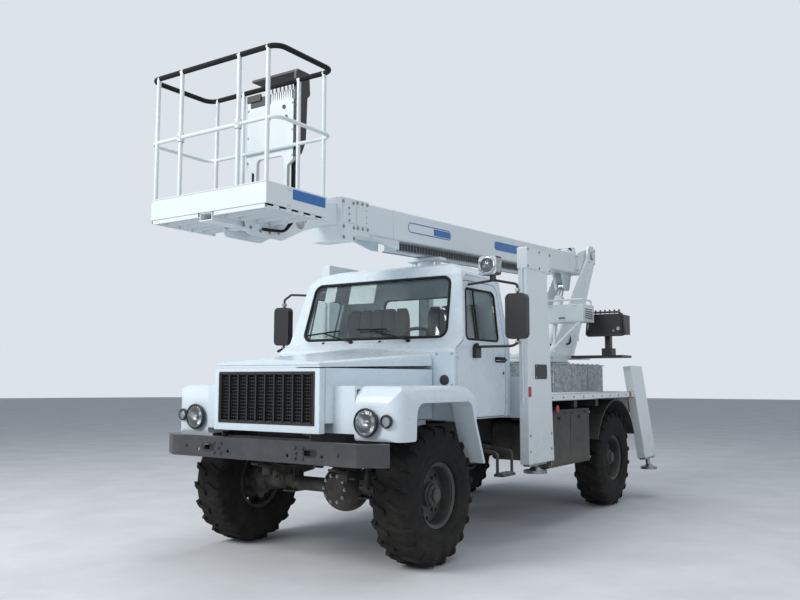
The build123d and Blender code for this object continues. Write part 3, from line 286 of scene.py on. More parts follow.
def zinc_dip():
    """Hot-dipped zinc on steel: grey spangles 10 to 30 mm wide, each with its own brightness."""
    material, tree, place = start("hot_dip_zinc")
    spangle_mm = 26
    spangle = add(tree, "TexVoronoi", {"Scale": 1000 / spangle_mm}, {"Vector": place})
    tone = add(tree, "SeparateColor", {}, {"Color": spangle.outputs["Color"]})
    body = mixed(tree, tone.outputs["Red"], linear("#8C9397"), linear("#B9BFC2"))
    rough_map = add(tree, "MapRange", {"To Min": 0.38, "To Max": 0.6}, {"Value": tone.outputs["Green"]})
    close(tree, {"Metallic": 0.85}, {"Base Color": body, "Roughness": rough_map.outputs["Result"],
                                     "Normal": soft_edges(tree, 3)})
    return material


def glass(name, colour, rough, wave_mm=0.0):
    """Flat or moulded glass: clear, smooth, with a slight tint in its thickness."""
    material, tree, place = start(name)
    links = {}
    if wave_mm:
        flutes = add(tree, "TexWave", {"Scale": 1000 / wave_mm / 6.28, "bands_direction": "X"},
                     {"Vector": place})
        links["Normal"] = relief(tree, flutes.outputs["Fac"], 1.2, None, 0.6)
    close(tree, {"Base Color": colour, "Roughness": rough, "Transmission Weight": 1.0, "IOR": 1.5}, links)
    return material


def film(name, colour):
    """Printed vinyl film: a flat satin colour with small wrinkles."""
    material, tree, place = start(name)
    wrinkle_mm = 35
    wrinkle = add(tree, "TexNoise", {"Scale": 1000 / wrinkle_mm, "Detail": 2.0}, {"Vector": place})
    body = mixed(tree, blotches(tree, place, 80, 0.0, 1.0), shade(colour, 0.94), shade(colour, 1.05))
    close(tree, {"Roughness": 0.32, "IOR": 1.46},
          {"Base Color": body, "Normal": relief(tree, wrinkle.outputs["Fac"], 0.4, None, 0.25)})
    return material


def vinyl():
    """Seat vinyl: a leather-like pressed grain with a soft sheen."""
    material, tree, place = start("seat_vinyl")
    cover = colours().seat
    grain_mm = 5
    grain = add(tree, "TexVoronoi", {"Scale": 1000 / grain_mm, "feature": "DISTANCE_TO_EDGE"},
                {"Vector": place})
    body = mixed(tree, blotches(tree, place, 120, 0.0, 1.0), shade(cover, 0.85), shade(cover, 1.1))
    close(tree, {"Roughness": 0.55, "IOR": 1.5, "Sheen Weight": 0.15},
          {"Base Color": body, "Normal": relief(tree, grain.outputs["Distance"], 0.5, None, 0.5)})
    return material


def foam():
    """Closed-cell foam sleeve: black, very matt, with small open cells."""
    material, tree, place = start("foam_sleeve")
    cell_mm = 3.5
    cells = add(tree, "TexVoronoi", {"Scale": 1000 / cell_mm}, {"Vector": place})
    close(tree, {"Base Color": linear("#17181A"), "Roughness": 0.9, "IOR": 1.45},
          {"Normal": relief(tree, cells.outputs["Distance"], 0.7, None, 0.6)})
    return material


made = {}


def build_materials():
    """Makes every material once, under the name of what it is."""
    c = colours()
    made.update({
        "cab": enamel("cab_enamel", tuple(c.cab), 0.27, 5),
        "lift": enamel("lift_enamel", tuple(c.lift), 0.33, 4),
        "chassis": enamel("chassis_enamel", tuple(c.chassis), 0.5, 3, 1.3, 0.5, 0.0),
        "bumper": enamel("bumper_enamel", tuple(c.bumper), 0.42, 4, 1.3, 0.3, 0.05),
        "rim": enamel("wheel_enamel", tuple(c.rim), 0.5, 3, 1.3, 0.25, 0.0),
        "engine": enamel("engine_enamel", linear("#4E5357"), 0.5, 4, 1.5, 0.4, 0.0),
        "tyre": rubber("tyre_rubber", linear("#151516"), 0.92, 6, 0.12),
        "gasket": rubber("window_rubber", linear("#121213"), 0.55, 5, 0.1),
        "hose": rubber("hose_rubber", linear("#151516"), 0.6, 5, 0.15),
        "black": plastic("black_abs", linear("#1A1B1D"), 0.45),
        "dash": plastic("dash_abs", linear("#26282B"), 0.6),
        "steel": metal("leg_steel", linear("#8E9498"), 0.42, 6, "Z"),
        "bolt": metal("zinc_plated_steel", linear("#A8ACAE"), 0.38, 4, "X"),
        "chrome": metal("hard_chrome", linear("#DADDE0"), 0.12, 5, "Z", 0.03),
        "bowl": metal("reflector_silver", linear("#F0F1F2"), 0.3, 8, "X", 0.02),
        "aluminium": metal("rolled_aluminium", linear("#B4B9BC"), 0.4, 8, "Y"),
        "zinc": zinc_dip(),
        "glass": glass("laminated_glass", linear("#E8F1F0"), 0.01),
        "lens": glass("moulded_lens", linear("#F4F8FA"), 0.04, 14),
        "amber": glass("amber_acrylic", linear("#F08A1C"), 0.12),
        "red": glass("red_acrylic", linear("#C01414"), 0.12),
        "band": film("blue_film", tuple(c.band)),
        "white_film": film("white_film", linear("#F2F4F5")),
        "reflector": film("red_reflex_film", linear("#B02018")),
        "vinyl": vinyl(),
        "foam": foam(),
    })


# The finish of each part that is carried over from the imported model
node_finish = {
    "cab": ("cab_shell", "door_left", "door_right", "hood", "front_wings", "nose_panel"),
    "chassis": ("frame_rails", "axles", "leaf_springs", "drive_line", "side_tanks", "knuckle_left",
                "knuckle_right", "subframe", "rear_mudguards", "side_boxes", "cab_steps"),
    "black": ("mirror_left", "mirror_right", "grille", "control_console"),
    "bumper": ("front_bumper",),
    "engine": ("engine",),
    "rim": tuple("rim_" + name for name, *_ in wheels),
    "tyre": tuple("tyre_" + name for name, *_ in wheels),
    "glass": ("cab_glass", "door_glass_left", "door_glass_right"),
    "lens": ("lamps",),
    "red": ("tail_lamps",),
    "vinyl": ("cab_seats",),
    "dash": ("dashboard",),
    "lift": ("front_outriggers", "rear_outriggers", "boom_rest", "turret_frame", "turret_box", "lift_barrel",
             "boom_outer", "boom_middle", "boom_inner", "basket_bracket", "basket_rails", "gate_bar",
             "control_stand", "basket_floor"),
    "steel": ("front_leg_left", "front_leg_right", "rear_leg_left", "rear_leg_right"),
    "zinc": ("pedestal",),
    "aluminium": ("deck",),
    "chrome": ("lift_rod",),
}


def dress(node, finish):
    """Gives a carried-over node its finish in every slot."""
    mesh = nodes[node].data
    if not mesh.materials:
        mesh.materials.append(made[finish])
    for i in range(len(mesh.materials)):
        mesh.materials[i] = made[finish]


# Shapes

def rounded(corners, steps=5):
    """Points round a closed outline of (a, b, radius) corners."""
    points = []
    count = len(corners)
    for i, (a, b, r) in enumerate(corners):
        here = Vector((a, b))
        back = (Vector(corners[i - 1][:2]) - here).normalized()
        ahead = (Vector(corners[(i + 1) % count][:2]) - here).normalized()
        half = back.angle(ahead) / 2
        if r <= 0 or half > 1.55:
            points.append(here)
            continue
        centre = here + (back + ahead).normalized() * (r / sin(half))
        first, last = here + back * (r / tan(half)), here + ahead * (r / tan(half))
        begin = atan2(first.y - centre.y, first.x - centre.x)
        turn = atan2(last.y - centre.y, last.x - centre.x) - begin
        turn = (turn + pi) % (2 * pi) - pi
        for k in range(steps + 1):
            angle = begin + turn * k / steps
            points.append(centre + Vector((cos(angle), sin(angle))) * r)
    return points


def rect(a, b, r=0):
    """Corners of a rectangle between two pairs of values."""
    return [(a[0], b[0], r), (a[1], b[0], r), (a[1], b[1], r), (a[0], b[1], r)]


def ring(radius, count, middle=(0, 0), start_at=0.0):
    """Points round a circle."""
    return [(middle[0] + radius * cos(start_at + 2 * pi * i / count),
             middle[1] + radius * sin(start_at + 2 * pi * i / count)) for i in range(count)]


def axes(direction):
    """Two axes square to a direction and to each other."""
    direction = Vector(direction).normalized()
    first = Z.cross(direction) if abs(direction.z) < 0.95 else X.copy()
    first = (first - direction * first.dot(direction)).normalized()
    return first, direction.cross(first)


# Faces that meet at more than this stay sharp or get a bevel.
sharp_degrees = 35


class Form:
    """A mesh in the making, in the truck's own millimetres."""

    def __init__(self):
        """Starts with an empty mesh."""
        self.mesh = bmesh.new()

    def skin(self, loops, capped=True, closed=False):
        """Joins loops of as many points each into one skin."""
        rows = [[self.mesh.verts.new(at(*p)) for p in loop] for loop in loops]
        count = len(rows[0])
        pairs = list(zip(rows, rows[1:])) + ([(rows[-1], rows[0])] if closed else [])
        for low, high in pairs:
            for i in range(count):
                j = (i + 1) % count
                self.mesh.faces.new((low[i], low[j], high[j], high[i]))
        if capped and not closed:
            self.mesh.faces.new(list(reversed(rows[0])))
            self.mesh.faces.new(rows[-1])
        return self

    def block(self, x, y, z):
        """A box from its low and high values on each axis."""
        corners = ((x[0], y[0]), (x[1], y[0]), (x[1], y[1]), (x[0], y[1]))
        return self.skin([[(a, b, c) for a, b in corners] for c in z])

    def bar(self, points, radius, count=10, bend=0, closed=False):
        """A round bar along points, its corners rounded by a bend."""
        line = [Vector(p) for p in points]
        if bend:
            line = eased(line, bend, closed)
        angles = [2 * pi * k / count for k in range(count)]
        loops = []
        across = None
        for i, here in enumerate(line):
            before = line[i - 1] if i or closed else here
            after = line[(i + 1) % len(line)] if i < len(line) - 1 or closed else here
            way = (after - before).normalized()
            if across is None:
                across = axes(way)[0]
            across = (across - way * across.dot(way)).normalized()
            up = way.cross(across)
            loops.append([here + across * radius * cos(a) + up * radius * sin(a) for a in angles])
        return self.skin(loops, closed=closed)

    def turned(self, profile, centre, direction, count=32):
        """A profile of (radius, height) turned about an axis; it closes on the axis where a radius is 0."""
        first, second = axes(direction)
        way = Vector(direction).normalized()
        angles = [2 * pi * k / count for k in range(count)]
        rows = []
        for r, h in profile:
            spot = Vector(centre) + way * h
            points = [spot]
            if r > 0.01:
                points = [spot + first * r * cos(a) + second * r * sin(a) for a in angles]
            rows.append([self.mesh.verts.new(at(*point)) for point in points])
        for low, high in zip(rows, rows[1:]):
            for k in range(count):
                n = (k + 1) % count
                if len(low) == 1 and len(high) == 1:
                    continue
                if len(low) == 1:
                    self.mesh.faces.new((low[0], high[n], high[k]))
                elif len(high) == 1:
                    self.mesh.faces.new((low[k], low[n], high[0]))
                else:
                    self.mesh.faces.new((low[k], low[n], high[n], high[k]))
        return self

    def plate(self, loops, origin, across, up, thick):
        """A flat plate, with a hole for each loop after the first, thickened along across x up."""
        curve = bpy.data.curves.new("cutting", "CURVE")
        curve.dimensions = "2D"
        curve.fill_mode = "BOTH"
        curve.extrude = thick * MM / 2
        for loop in loops:
            spline = curve.splines.new("POLY")
            spline.points.add(len(loop) - 1)
            for point, (a, b) in zip(spline.points, loop):
                point.co = (a * MM, b * MM, 0, 1)
            spline.use_cyclic_u = True
        holder = bpy.data.objects.new("cutting", curve)
        flat_mesh = bpy.data.meshes.new_from_object(holder)
        across, up = Vector(across).normalized(), Vector(up).normalized()
        out = across.cross(up)
        turn = Matrix((across, up, out)).transposed().to_4x4()
        place = Matrix.Translation(at(*origin) + out * (thick * MM / 2)) @ turn
        flat_mesh.transform(place)
        fresh = bmesh.new()
        fresh.from_mesh(flat_mesh)
        bmesh.ops.remove_doubles(fresh, verts=fresh.verts, dist=1e-6)
        fresh.to_mesh(flat_mesh)
        fresh.free()
        self.mesh.from_mesh(flat_mesh)
        bpy.data.objects.remove(holder)
        bpy.data.curves.remove(curve)
        bpy.data.meshes.remove(flat_mesh)
        return self

    def side_plate(self, loops, x, side, thick):
        """An upright plate along the truck that stands outwards from x on its side."""
        return self.plate(loops, (x if side > 0 else x - thick, 0, 0), Y, Z, thick)

    def side_block(self, x, side, thick, y, z):
        """A box that stands outwards from x on its side."""
        return self.block(sorted((x, x + side * thick)), y, z)

    def bolt(self, spot, direction, radius=11, high=8):
        """A hexagon head on its washer."""
        self.turned([(0, 0), (radius * 1.5, 0), (radius * 1.5, 2), (radius, 2)], spot, direction, 16)
        return self.turned([(radius, 2), (radius, high), (radius * 0.8, high + 1.5), (0, high + 1.5)], spot,
                           direction, 6)

    def bolts(self, spots, direction, radius=11, high=8):
        """A bolt at each spot."""
        for spot in spots:
            self.bolt(spot, direction, radius, high)
        return self

    def on(self, side):
        """Moves it all from the truck's left to its right where the side is -1."""
        if side < 0:
            for vert in self.mesh.verts:
                vert.co.x = -vert.co.x
            bmesh.ops.reverse_faces(self.mesh, faces=self.mesh.faces[:])
        return self

    def finish(self, name, body, finish, replaces=(), edge=0.0, slot=None):
        """Turns it into a piece that rides on a body, with its finish and rounded edges; the slot is not
        used.
        """
        bmesh.ops.recalc_face_normals(self.mesh, faces=self.mesh.faces[:])
        data = bpy.data.meshes.new(name)
        self.mesh.to_mesh(data)
        self.mesh.free()
        data.polygons.foreach_set("use_smooth", [True] * len(data.polygons))
        if not edge:
            data.set_sharp_from_angle(angle=radians(sharp_degrees))
        piece = bpy.data.objects.new(name, data)
        bpy.context.scene.collection.objects.link(piece)
        data.materials.append(made[finish])
        if edge:
            bevel = piece.modifiers.new("soft_edges", "BEVEL")
            bevel.width = edge * MM
            bevel.segments = 2
            bevel.limit_method = "ANGLE"
            bevel.angle_limit = radians(sharp_degrees)
            bevel.harden_normals = True
        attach(piece, body)
        if replaces:
            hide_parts(*replaces)
        return piece


def eased(line, bend, closed=False, steps=5):
    """A line's corners rounded by a bend radius."""
    out = []
    count = len(line)
    for i, here in enumerate(line):
        if not closed and i in (0, count - 1):
            out.append(here)
            continue
        back, ahead = line[i - 1] - here, line[(i + 1) % count] - here
        half = back.angle(ahead) / 2
        if half > 1.5:
            out.append(here)
            continue
        reach = min(bend / tan(half), back.length * 0.48, ahead.length * 0.48)
        first, last = here + back.normalized() * reach, here + ahead.normalized() * reach
        for k in range(steps + 1):
            t = k / steps
            out.append(first * (1 - t) ** 2 + here * 2 * t * (1 - t) + last * t ** 2)
    return out


# Pieces

class Piece(bpy.types.Operator):
    """Shared options of the piece operators."""
    bl_options = {"REGISTER", "UNDO"}

    def execute(self, context):
        """Makes what the operator's own text says."""
        self.make()
        return {"FINISHED"}


class CHERRY_OT_finishes(Piece):
    """Make the materials and give the carried-over parts theirs"""
    bl_idname = "cherry.finishes"
    bl_label = "Finishes"

    def make(self):
        build_materials()
        for finish, names in node_finish.items():
            for node in names:
                dress(node, finish)


# The camera's place in the truck's own millimetres, and where it looks.
camera_spot = (4353, -5414, 1388)
camera_yaw = 34.1
camera_rise = 5.51
camera_roll = 0.12
focal_pixels = 828.8
frame_pixels = 800
sensor_mm = 36


class CHERRY_OT_stage(Piece):
    """Floor, backdrop, lamps and the camera at the photograph's angle"""
    bl_idname = "cherry.stage"
    bl_label = "Stage"

    def make(self):
        """Sets the view transform and makes the camera, the floor and the lamps."""
        scene = bpy.context.scene
        scene.view_settings.view_transform = "Standard"
        self.camera(scene)
        self.floor()
        self.lamps(scene)

    def camera(self, scene):
        """The camera at the photograph's place, angle and focal length."""
        lens = bpy.data.cameras.new("photo_view")
        lens.sensor_width = sensor_mm
        lens.lens = sensor_mm * focal_pixels / frame_pixels
        lens.clip_end = 200
        eye = bpy.data.objects.new("photo_view", lens)
        yaw, rise, roll = (radians(a) for a in (camera_yaw, camera_rise, camera_roll))
        look = Vector((-sin(yaw) * cos(rise), cos(yaw) * cos(rise), sin(rise)))
        level = look.to_track_quat("-Z", "Y")
        eye.rotation_mode = "QUATERNION"
        eye.rotation_quaternion = level @ Matrix.Rotation(roll, 3, "Z").to_quaternion()
        eye.location = at(*camera_spot)
        scene.collection.objects.link(eye)
        scene.camera = eye

    def floor(self):
        """A wide disc of pale concrete."""
        material, tree, place = start("pale_concrete")
        speck = blotches(tree, place, 700, 0.0, 1.0)
        tone = mixed(tree, speck, linear("#D9DADB"), linear("#E3E4E5"))
        close(tree, {"Roughness": 0.8, "Specular IOR Level": 0.2}, {"Base Color": tone})
        disc = bmesh.new()
        bmesh.ops.create_circle(disc, cap_ends=True, segments=96, radius=60)
        data = bpy.data.meshes.new("floor")
        disc.to_mesh(data)
        disc.free()
        data.materials.append(material)
        floor = bpy.data.objects.new("floor", data)
        bpy.context.scene.collection.objects.link(floor)

    def lamps(self, scene):
        """A dim world that the camera and the glossy faces see as pale, and three area lamps."""
        world = bpy.data.worlds.new("studio")
        world.use_nodes = True
        tree = world.node_tree
        tree.nodes.clear()
        path = add(tree, "LightPath")
        seen = add(tree, "Math", {"operation": "MAXIMUM"}, {0: path.outputs["Is Camera Ray"],
                                                            1: path.outputs["Is Glossy Ray"]})
        clear = add(tree, "Math", {"operation": "MAXIMUM"}, {0: seen.outputs["Value"],
                                                             1: path.outputs["Is Transmission Ray"]})
        dim = add(tree, "Background", {"Color": (*linear("#C9D6E6"), 1), "Strength": 0.42})
        pale = add(tree, "Background", {"Color": (*linear("#DCE3EA"), 1), "Strength": 1.0})
        both = add(tree, "MixShader", {}, {0: clear.outputs["Value"]})
        tree.links.new(dim.outputs["Background"], both.inputs[1])
        tree.links.new(pale.outputs["Background"], both.inputs[2])
        add(tree, "OutputWorld", {}, {"Surface": both.outputs["Shader"]})
        scene.world = world
        for name, spot, aim, wide, power in (("key", (-3500, -9000, 7500), (0, 500, 1500), 5.0, 880),
                                             ("fill", (9000, -2500, 5000), (0, 2500, 1500), 7.0, 170),
                                             ("top", (0, 3000, 10000), (0, 2500, 1000), 8.0, 330)):
            light = bpy.data.lights.new(name, "AREA")
            light.size = wide
            light.energy = power
            lamp = bpy.data.objects.new(name, light)
            lamp.location = at(*spot)
            lamp.rotation_euler = (at(*aim) - at(*spot)).to_track_quat("-Z", "Y").to_euler()
            scene.collection.objects.link(lamp)


# One side of the tyre's section, as (radius, half width) from the bead to the middle of the tread
tyre_profile = [(229, 107), (236, 118), (249, 122), (253, 143), (290, 152), (345, 156.5), (400, 155),
                (442, 148), (470, 139.5), (490, 128), (499, 110), (503, 70), (503, 0)]
tyre_radius = 525
carcass_radius = 503
lug_root = 505
lug_count = 20
lug_turn = 26


class CHERRY_OT_tyres(Piece):
    """Tyres with slanted lugs, narrow bars between them and ribs on the sidewalls"""
    bl_idname = "cherry.tyres"
    bl_label = "Tyres"

    def make(self):
        for name, side, y in wheels:
            form = Form()
            centre = (side * wheel_x, y, wheel_z)
            profile = tyre_profile + [(r, -h) for r, h in reversed(tyre_profile[:-1])]
            form.turned(profile, centre, X, 96)
            for h in (1, -1):
                for r, out in ((268, 149.5), (330, 156.6), (388, 156)):
                    form.turned([(r - 5, h * (out - 3)), (r - 2, h * (out + 1)), (r + 2, h * (out + 1)),
                                 (r + 5, h * (out - 3))], centre, X, 96)
            self.lugs(form, centre)
            form.finish("tyre_tread_" + name, "wheel_" + name, "tyre", ["tyre_" + name], edge=1.6)

    def lugs(self, form, centre):
        """Two rows of slanted lugs, half a pitch apart, with a narrow bar between each two."""
        high = carcass_radius + sizes().lug / MM
        slant = tan(radians(lug_turn))
        stations = ((10, high, 484), (62, high, 484), (112, high - 2, 478), (143, high - 17, 470),
                    (153.5, high - 62, 445))
        for i in range(lug_count):
            for h, share in ((1, 0.0), (-1, 0.5)):
                middle = 2 * pi * (i + share) / lug_count
                loops = []
                for x, top, base in stations:
                    turn = middle + h * x * slant / tyre_radius
                    wide, foot = (19 - x * 0.02) / tyre_radius, (24 - x * 0.02) / lug_root
                    loops.append([self.spot(centre, h * x, r, turn + s * w) for r, s, w in
                                  ((base, -1, foot), (top, -1, wide), (top, 1, wide), (base, 1, foot))])
                form.skin(loops)
                mid = middle + (pi + 60 * slant / tyre_radius * 2) / lug_count * h
                form.skin([[self.spot(centre, h * x, r, mid + s * 8 / tyre_radius) for r, s in
                            ((485, -1), (high - 6, -1), (high - 6, 1), (485, 1))] for x in (96, 136)])

    def spot(self, centre, x, r, turn):
        """A point at a radius and angle round a wheel."""
        return (centre[0] + x, centre[1] + r * cos(turn), centre[2] + r * sin(turn))


# Closed section of the rim and the hub's outline, as (radius, distance outwards)
rim_profile = [(214, -112), (236, -116), (247, -121), (248, -129), (243, -130), (234, -122), (216, -120),
               (229, -90), (229.5, 90), (222, 118), (236, 123), (243, 130), (247, 129), (247, 118),
               (232, 112), (216, 108), (214, 90), (214, -112)]
hub_profile = [(112, 25), (118, 31), (96, 34), (92, 40), (92, 70), (86, 74), (78, 96), (56, 97), (52, 100),
               (52, 119), (47, 122), (0, 122)]


class CHERRY_OT_rims(Piece):
    """Pressed steel wheels with hand holes, nuts and a bolted hub"""
    bl_idname = "cherry.rims"
    bl_label = "Wheels"

    def make(self):
        for name, side, y in wheels:
            out = X * side
            centre = Vector((side * wheel_x, y, wheel_z))
            form = Form()
            form.turned(rim_profile, centre, out, 96)
            holes = [ring(17, 20, middle) for middle in ring(184, 8)]
            across, up = axes(out)
            form.plate([ring(216, 96), ring(84, 48), *holes], centre + out * 14, across, up, 11)
            form.turned(hub_profile, centre, out, 48)
            for round_radius, count, stand, radius, high in ((135, 6, 26, 14, 22), (66, 8, 96, 6, 6)):
                form.bolts([centre + out * stand + across * a + up * b for a, b in ring(round_radius, count)],
                           out, radius, high)
            form.bar([centre + out * h + up * r for r, h in ((222, 30), (196, 48), (186, 66))], 4)
            form.finish("wheel_disc_" + name, "wheel_" + name, "rim", ["rim_" + name], edge=0.9)
            drum = Form()
            drum.turned([(41, -40), (150, -40), (160, -28), (160, 6), (0, 6)], centre, out, 48)
            drum.finish("brake_plate_" + name, "wheel_" + name, "chassis")


# The windscreen's foot and head as (y, z), and the cab's side at its belt and roof as (x, z)
screen_foot, screen_head = (545, 1728), (703, 2292)
flank_belt, flank_roof = (950, 1700), (840, 2330)


def screen_y(z):
    """Where the windscreen's slope is at a height."""
    (low_y, low_z), (high_y, high_z) = screen_foot, screen_head
    return low_y + (z - low_z) * (high_y - low_y) / (high_z - low_z)


def flank_x(z):
    """Where the cab's side is at a height, over its belt."""
    (low_x, low_z), (high_x, high_z) = flank_belt, flank_roof
    return low_x - max(0, z - low_z) * (low_x - high_x) / (high_z - low_z)


def back_y(z):
    """Where the cab's back leans to at a height."""
    return 1400 - (z - 1060) * 20 / 1332


class CHERRY_OT_cab_trim(Piece):
    """Window rubbers, gutters, wipers, handles and the papers behind the screen"""
    bl_idname = "cherry.cab_trim"
    bl_label = "Cab trim"

    def make(self):
        r = sizes().gasket / MM
        form = Form()
        front = rounded([(-782, 1752, 70), (782, 1752, 70), (742, 2278, 80), (-742, 2278, 80)], 8)
        form.bar([(a, screen_y(b) - 2, b) for a, b in front], r, closed=True)
        back = rounded(rect((-430, 430), (1780, 2180), 70), 8)
        form.bar([(a, back_y(b) + 1, b) for a, b in back], r, closed=True)
        form.finish("window_rubbers", "chassis", "gasket")
        pane = rounded([(603, 1730, 30), (1176, 1730, 45), (1236, 2172, 50), (727, 2172, 40)], 6)
        for side, name in sides:
            form = Form()
            form.bar([(flank_x(b) - 1, a, b) for a, b in pane], r * 0.75, closed=True)
            form.bar([(flank_x(1740) - 2, 813, 1740), (flank_x(2160) - 2, 852, 2160)], 8)
            self.handle(form)
            form.on(side).finish("door_trim_" + name, "door_" + name, "gasket")
            gutter = Form()
            edge = [(560, 1745), (706, 2262), (760, 2300), (1290, 2300), (1365, 2262), (1372, 1900)]
            gutter.bar([(flank_x(z) - 2, y, z) for y, z in edge], 8, bend=40)
            gutter.on(side).finish("gutter_" + name, "chassis", "cab")
        self.wipers()
        papers = Form()
        for x, z, wide, tall, lean in ((-574, 2190, 124, 160, 2), (-198, 2176, 290, 184, -1)):
            corners = [(x - wide / 2, z - tall / 2), (x + wide / 2, z - tall / 2 + lean * 4),
                       (x + wide / 2, z + tall / 2 + lean * 4), (x - wide / 2, z + tall / 2)]
            papers.skin([[(a, screen_y(b) + 24 + d, b) for a, b in corners] for d in (0, 1.2)])
        papers.finish("blank_papers", "chassis", "white_film")

    def handle(self, form):
        """The door's handle on its plate, with the lock under it."""
        form.plate([rounded(rect((1099, 1299), (1543, 1591), 16))], (953, 0, 0), Y, Z, 3)
        form.bar([(958, 1110, 1572), (976, 1124, 1572), (976, 1270, 1568), (966, 1286, 1566)], 9.5, bend=14)
        form.turned([(12, 0), (12, 6), (0, 7)], (949, 1262, 1450), X, 20)

    def wipers(self):
        """Two wipers, each with its spindle, arm, blade and rubber, and two washer jets."""
        form = Form()
        for x, near, far in ((-201, (-360, 1832), (-728, 1800)), (418, (165, 1834), (-167, 1838))):
            base = Vector((x, screen_y(1742) - 18, 1722))
            form.turned([(17, 0), (17, 20), (11, 26), (0, 26)], base, (0, -1, 0.3), 20)
            middle = Vector(((near[0] + far[0]) / 2, screen_y(1820) - 26, (near[1] + far[1]) / 2))
            form.bar([base + Vector((0, -22, 8)), middle], 6)
            for radius, lift in ((7, 0), (3.5, 8)):
                form.bar([(a, screen_y(z) - 16 - lift, z + lift / 2) for a, z in (near, far)], radius)
        form.bolts([(x, 534, 1722) for x in (-529, 112)], (0, -0.52, 0.85), 10, 8)
        form.finish("wipers", "chassis", "gasket")


class CHERRY_OT_nose(Piece):
    """Grille mesh, side repeaters and screws on the cowl, and the bonnet's lip"""
    bl_idname = "cherry.nose"
    bl_label = "Nose and bonnet"

    def make(self):
        form = Form()
        frame_line = rounded(rect((-487, 487), (1057, 1447), 14))
        inner = rounded(rect((-462, 462), (1078, 1426), 10))
        form.plate([frame_line, inner], (0, -777, 0), X, Z, 22)
        slats, rods, wires, inner_width = 11, 15, 40, 926
        for i in range(slats):
            x = (i - slats // 2) * inner_width / (slats - 1)
            form.block((x - 7, x + 7), (-799, -768), (1070, 1434))
        for i in range(rods):
            z = 1078 + i * 24.9
            form.block((-470, 470), (-781, -772), (z - 3.5, z + 3.5))
        for i in range(wires):
            x = -inner_width / 2 + (i + 0.5) * inner_width / wires
            form.block((x - 2, x + 2), (-783, -771), (1070, 1434))
        form.block((-470, 470), (-769, -764), (1070, 1434))
        form.finish("grille_mesh", "chassis", "black", ["grille"], edge=1.0, slot="chassis_paint")
        repeater, plugs = Form(), Form()
        for side, _ in sides:
            repeater.turned([(42, 0), (42, 8), (36, 16), (0, 19)], (side * 855, 400, 1388), -Y, 32)
            plugs.bolts([(side * x, 400, z) for x, z in ((779, 1600), (925, 1600), (925, 1345))], -Y, 8, 4)
        repeater.finish("cowl_repeaters", "chassis", "black")
        plugs.finish("cowl_screws", "chassis", "bolt")
        trim = Form()
        trim.bar([(-528, -797, 1500), (528, -797, 1500)], 5)
        trim.finish("bonnet_lip", "hood", "cab")


def lamp_parts(lens, bowl, rim, centre, r, way):
    """A round lamp: a domed lens, a silvered bowl with its bulb, and a rim."""
    lens.turned([(r - 5, 0), (r - 5, 3), (r * 0.72, 12), (r * 0.38, 18), (0, 20), (0, 16), (r * 0.38, 14),
                 (r * 0.72, 8), (r - 8, 0), (r - 5, 0)], centre, way, 40)
    bowl.turned([(r - 6, -1), (r * 0.9, -8), (r * 0.62, -30), (r * 0.3, -46), (0, -50)], centre, way, 40)
    bowl.turned([(9, -46), (9, -22), (0, -18)], centre, way, 16)
    rim.turned([(r - 9, 2), (r - 6, 10), (r - 1, 12), (r + 6, 6), (r + 7, -6), (r + 2, -18), (r - 9, -18),
                (r - 9, 2)], centre, way, 48)


class CHERRY_OT_lamps(Piece):
    """Headlamps, side lamps, the work lamp and tail lamps"""
    bl_idname = "cherry.lamps"
    bl_label = "Lamps"

    def make(self):
        lens, bowl, rim = Form(), Form(), Form()
        for side, _ in sides:
            lamp_parts(lens, bowl, rim, (side * 865, -692, 1088), 96, -Y)
            lamp_parts(lens, bowl, rim, (side * 1030, -674, 1100), 42, -Y)
        lens.finish("lamp_lenses", "chassis", "lens", ["lamps"])
        bowl.finish("lamp_bowls", "chassis", "bowl")
        rim.finish("lamp_rims", "chassis", "black")
        lens, bowl, rim = Form(), Form(), Form()
        lamp_parts(lens, bowl, rim, (1130, 634, 2337), 66, -Y)
        shell = Form()
        shell.plate([rounded(rect((1046, 1214), (2258, 2416), 34))], (0, 732, 0), X, Z, 96)
        shell.finish("work_shell", "door_left", "zinc", edge=5, slot="dash_plastic")
        lens.finish("work_lens", "door_left", "lens")
        bowl.finish("work_bowl", "door_left", "bowl")
        rim.finish("work_rim", "door_left", "chrome")
        red, amber, clear = Form(), Form(), Form()
        for side, _ in sides:
            for form, x in ((amber, 850), (red, 762), (clear, 672)):
                form.block((side * x - 42, side * x + 42), (4836, 4856), (1046, 1124))
        red.finish("tail_lens_red", "chassis", "red", edge=4)
        amber.finish("tail_lens_amber", "chassis", "amber", edge=4)
        clear.finish("tail_lens_clear", "chassis", "lens", edge=4)


# How square a cushion is in plan: 2 is round, and more is squarer.
squareness = 7


def cushion(form, x, y, z, crown, fat):
    """A stuffed block: rounded in plan, crowned on top and pulled in at its seams."""
    turns, rows = 24, 10
    middle = [(a + b) / 2 for a, b in (x, y, z)]
    half = [(b - a) / 2 for a, b in (x, y, z)]
    loops = []
    for j in range(rows + 1):
        t = -1 + 2 * j / rows
        inset = fat * (1 - (1 - abs(t) ** 3.2) ** 0.5)
        loop = []
        for i in range(turns):
            angle = 2 * pi * i / turns
            c, s = cos(angle), sin(angle)
            grow = (abs(c) ** squareness + abs(s) ** squareness) ** (-1 / squareness)
            u = min(1.0, abs(c) * grow) * (1 if c > 0 else -1)
            v = min(1.0, abs(s) * grow) * (1 if s > 0 else -1)
            loop.append((middle[0] + (half[0] - inset) * u, middle[1] + (half[1] - inset) * v,
                         middle[2] + half[2] * t))
        loops.append(loop)
    top = loops[-1]
    for share in (0.75, 0.4):
        lift = crown * (1 - share ** 2)
        loops.append([(middle[0] + (p[0] - middle[0]) * share, middle[1] + (p[1] - middle[1]) * share,
                       p[2] + lift) for p in top])
    form.skin(loops)


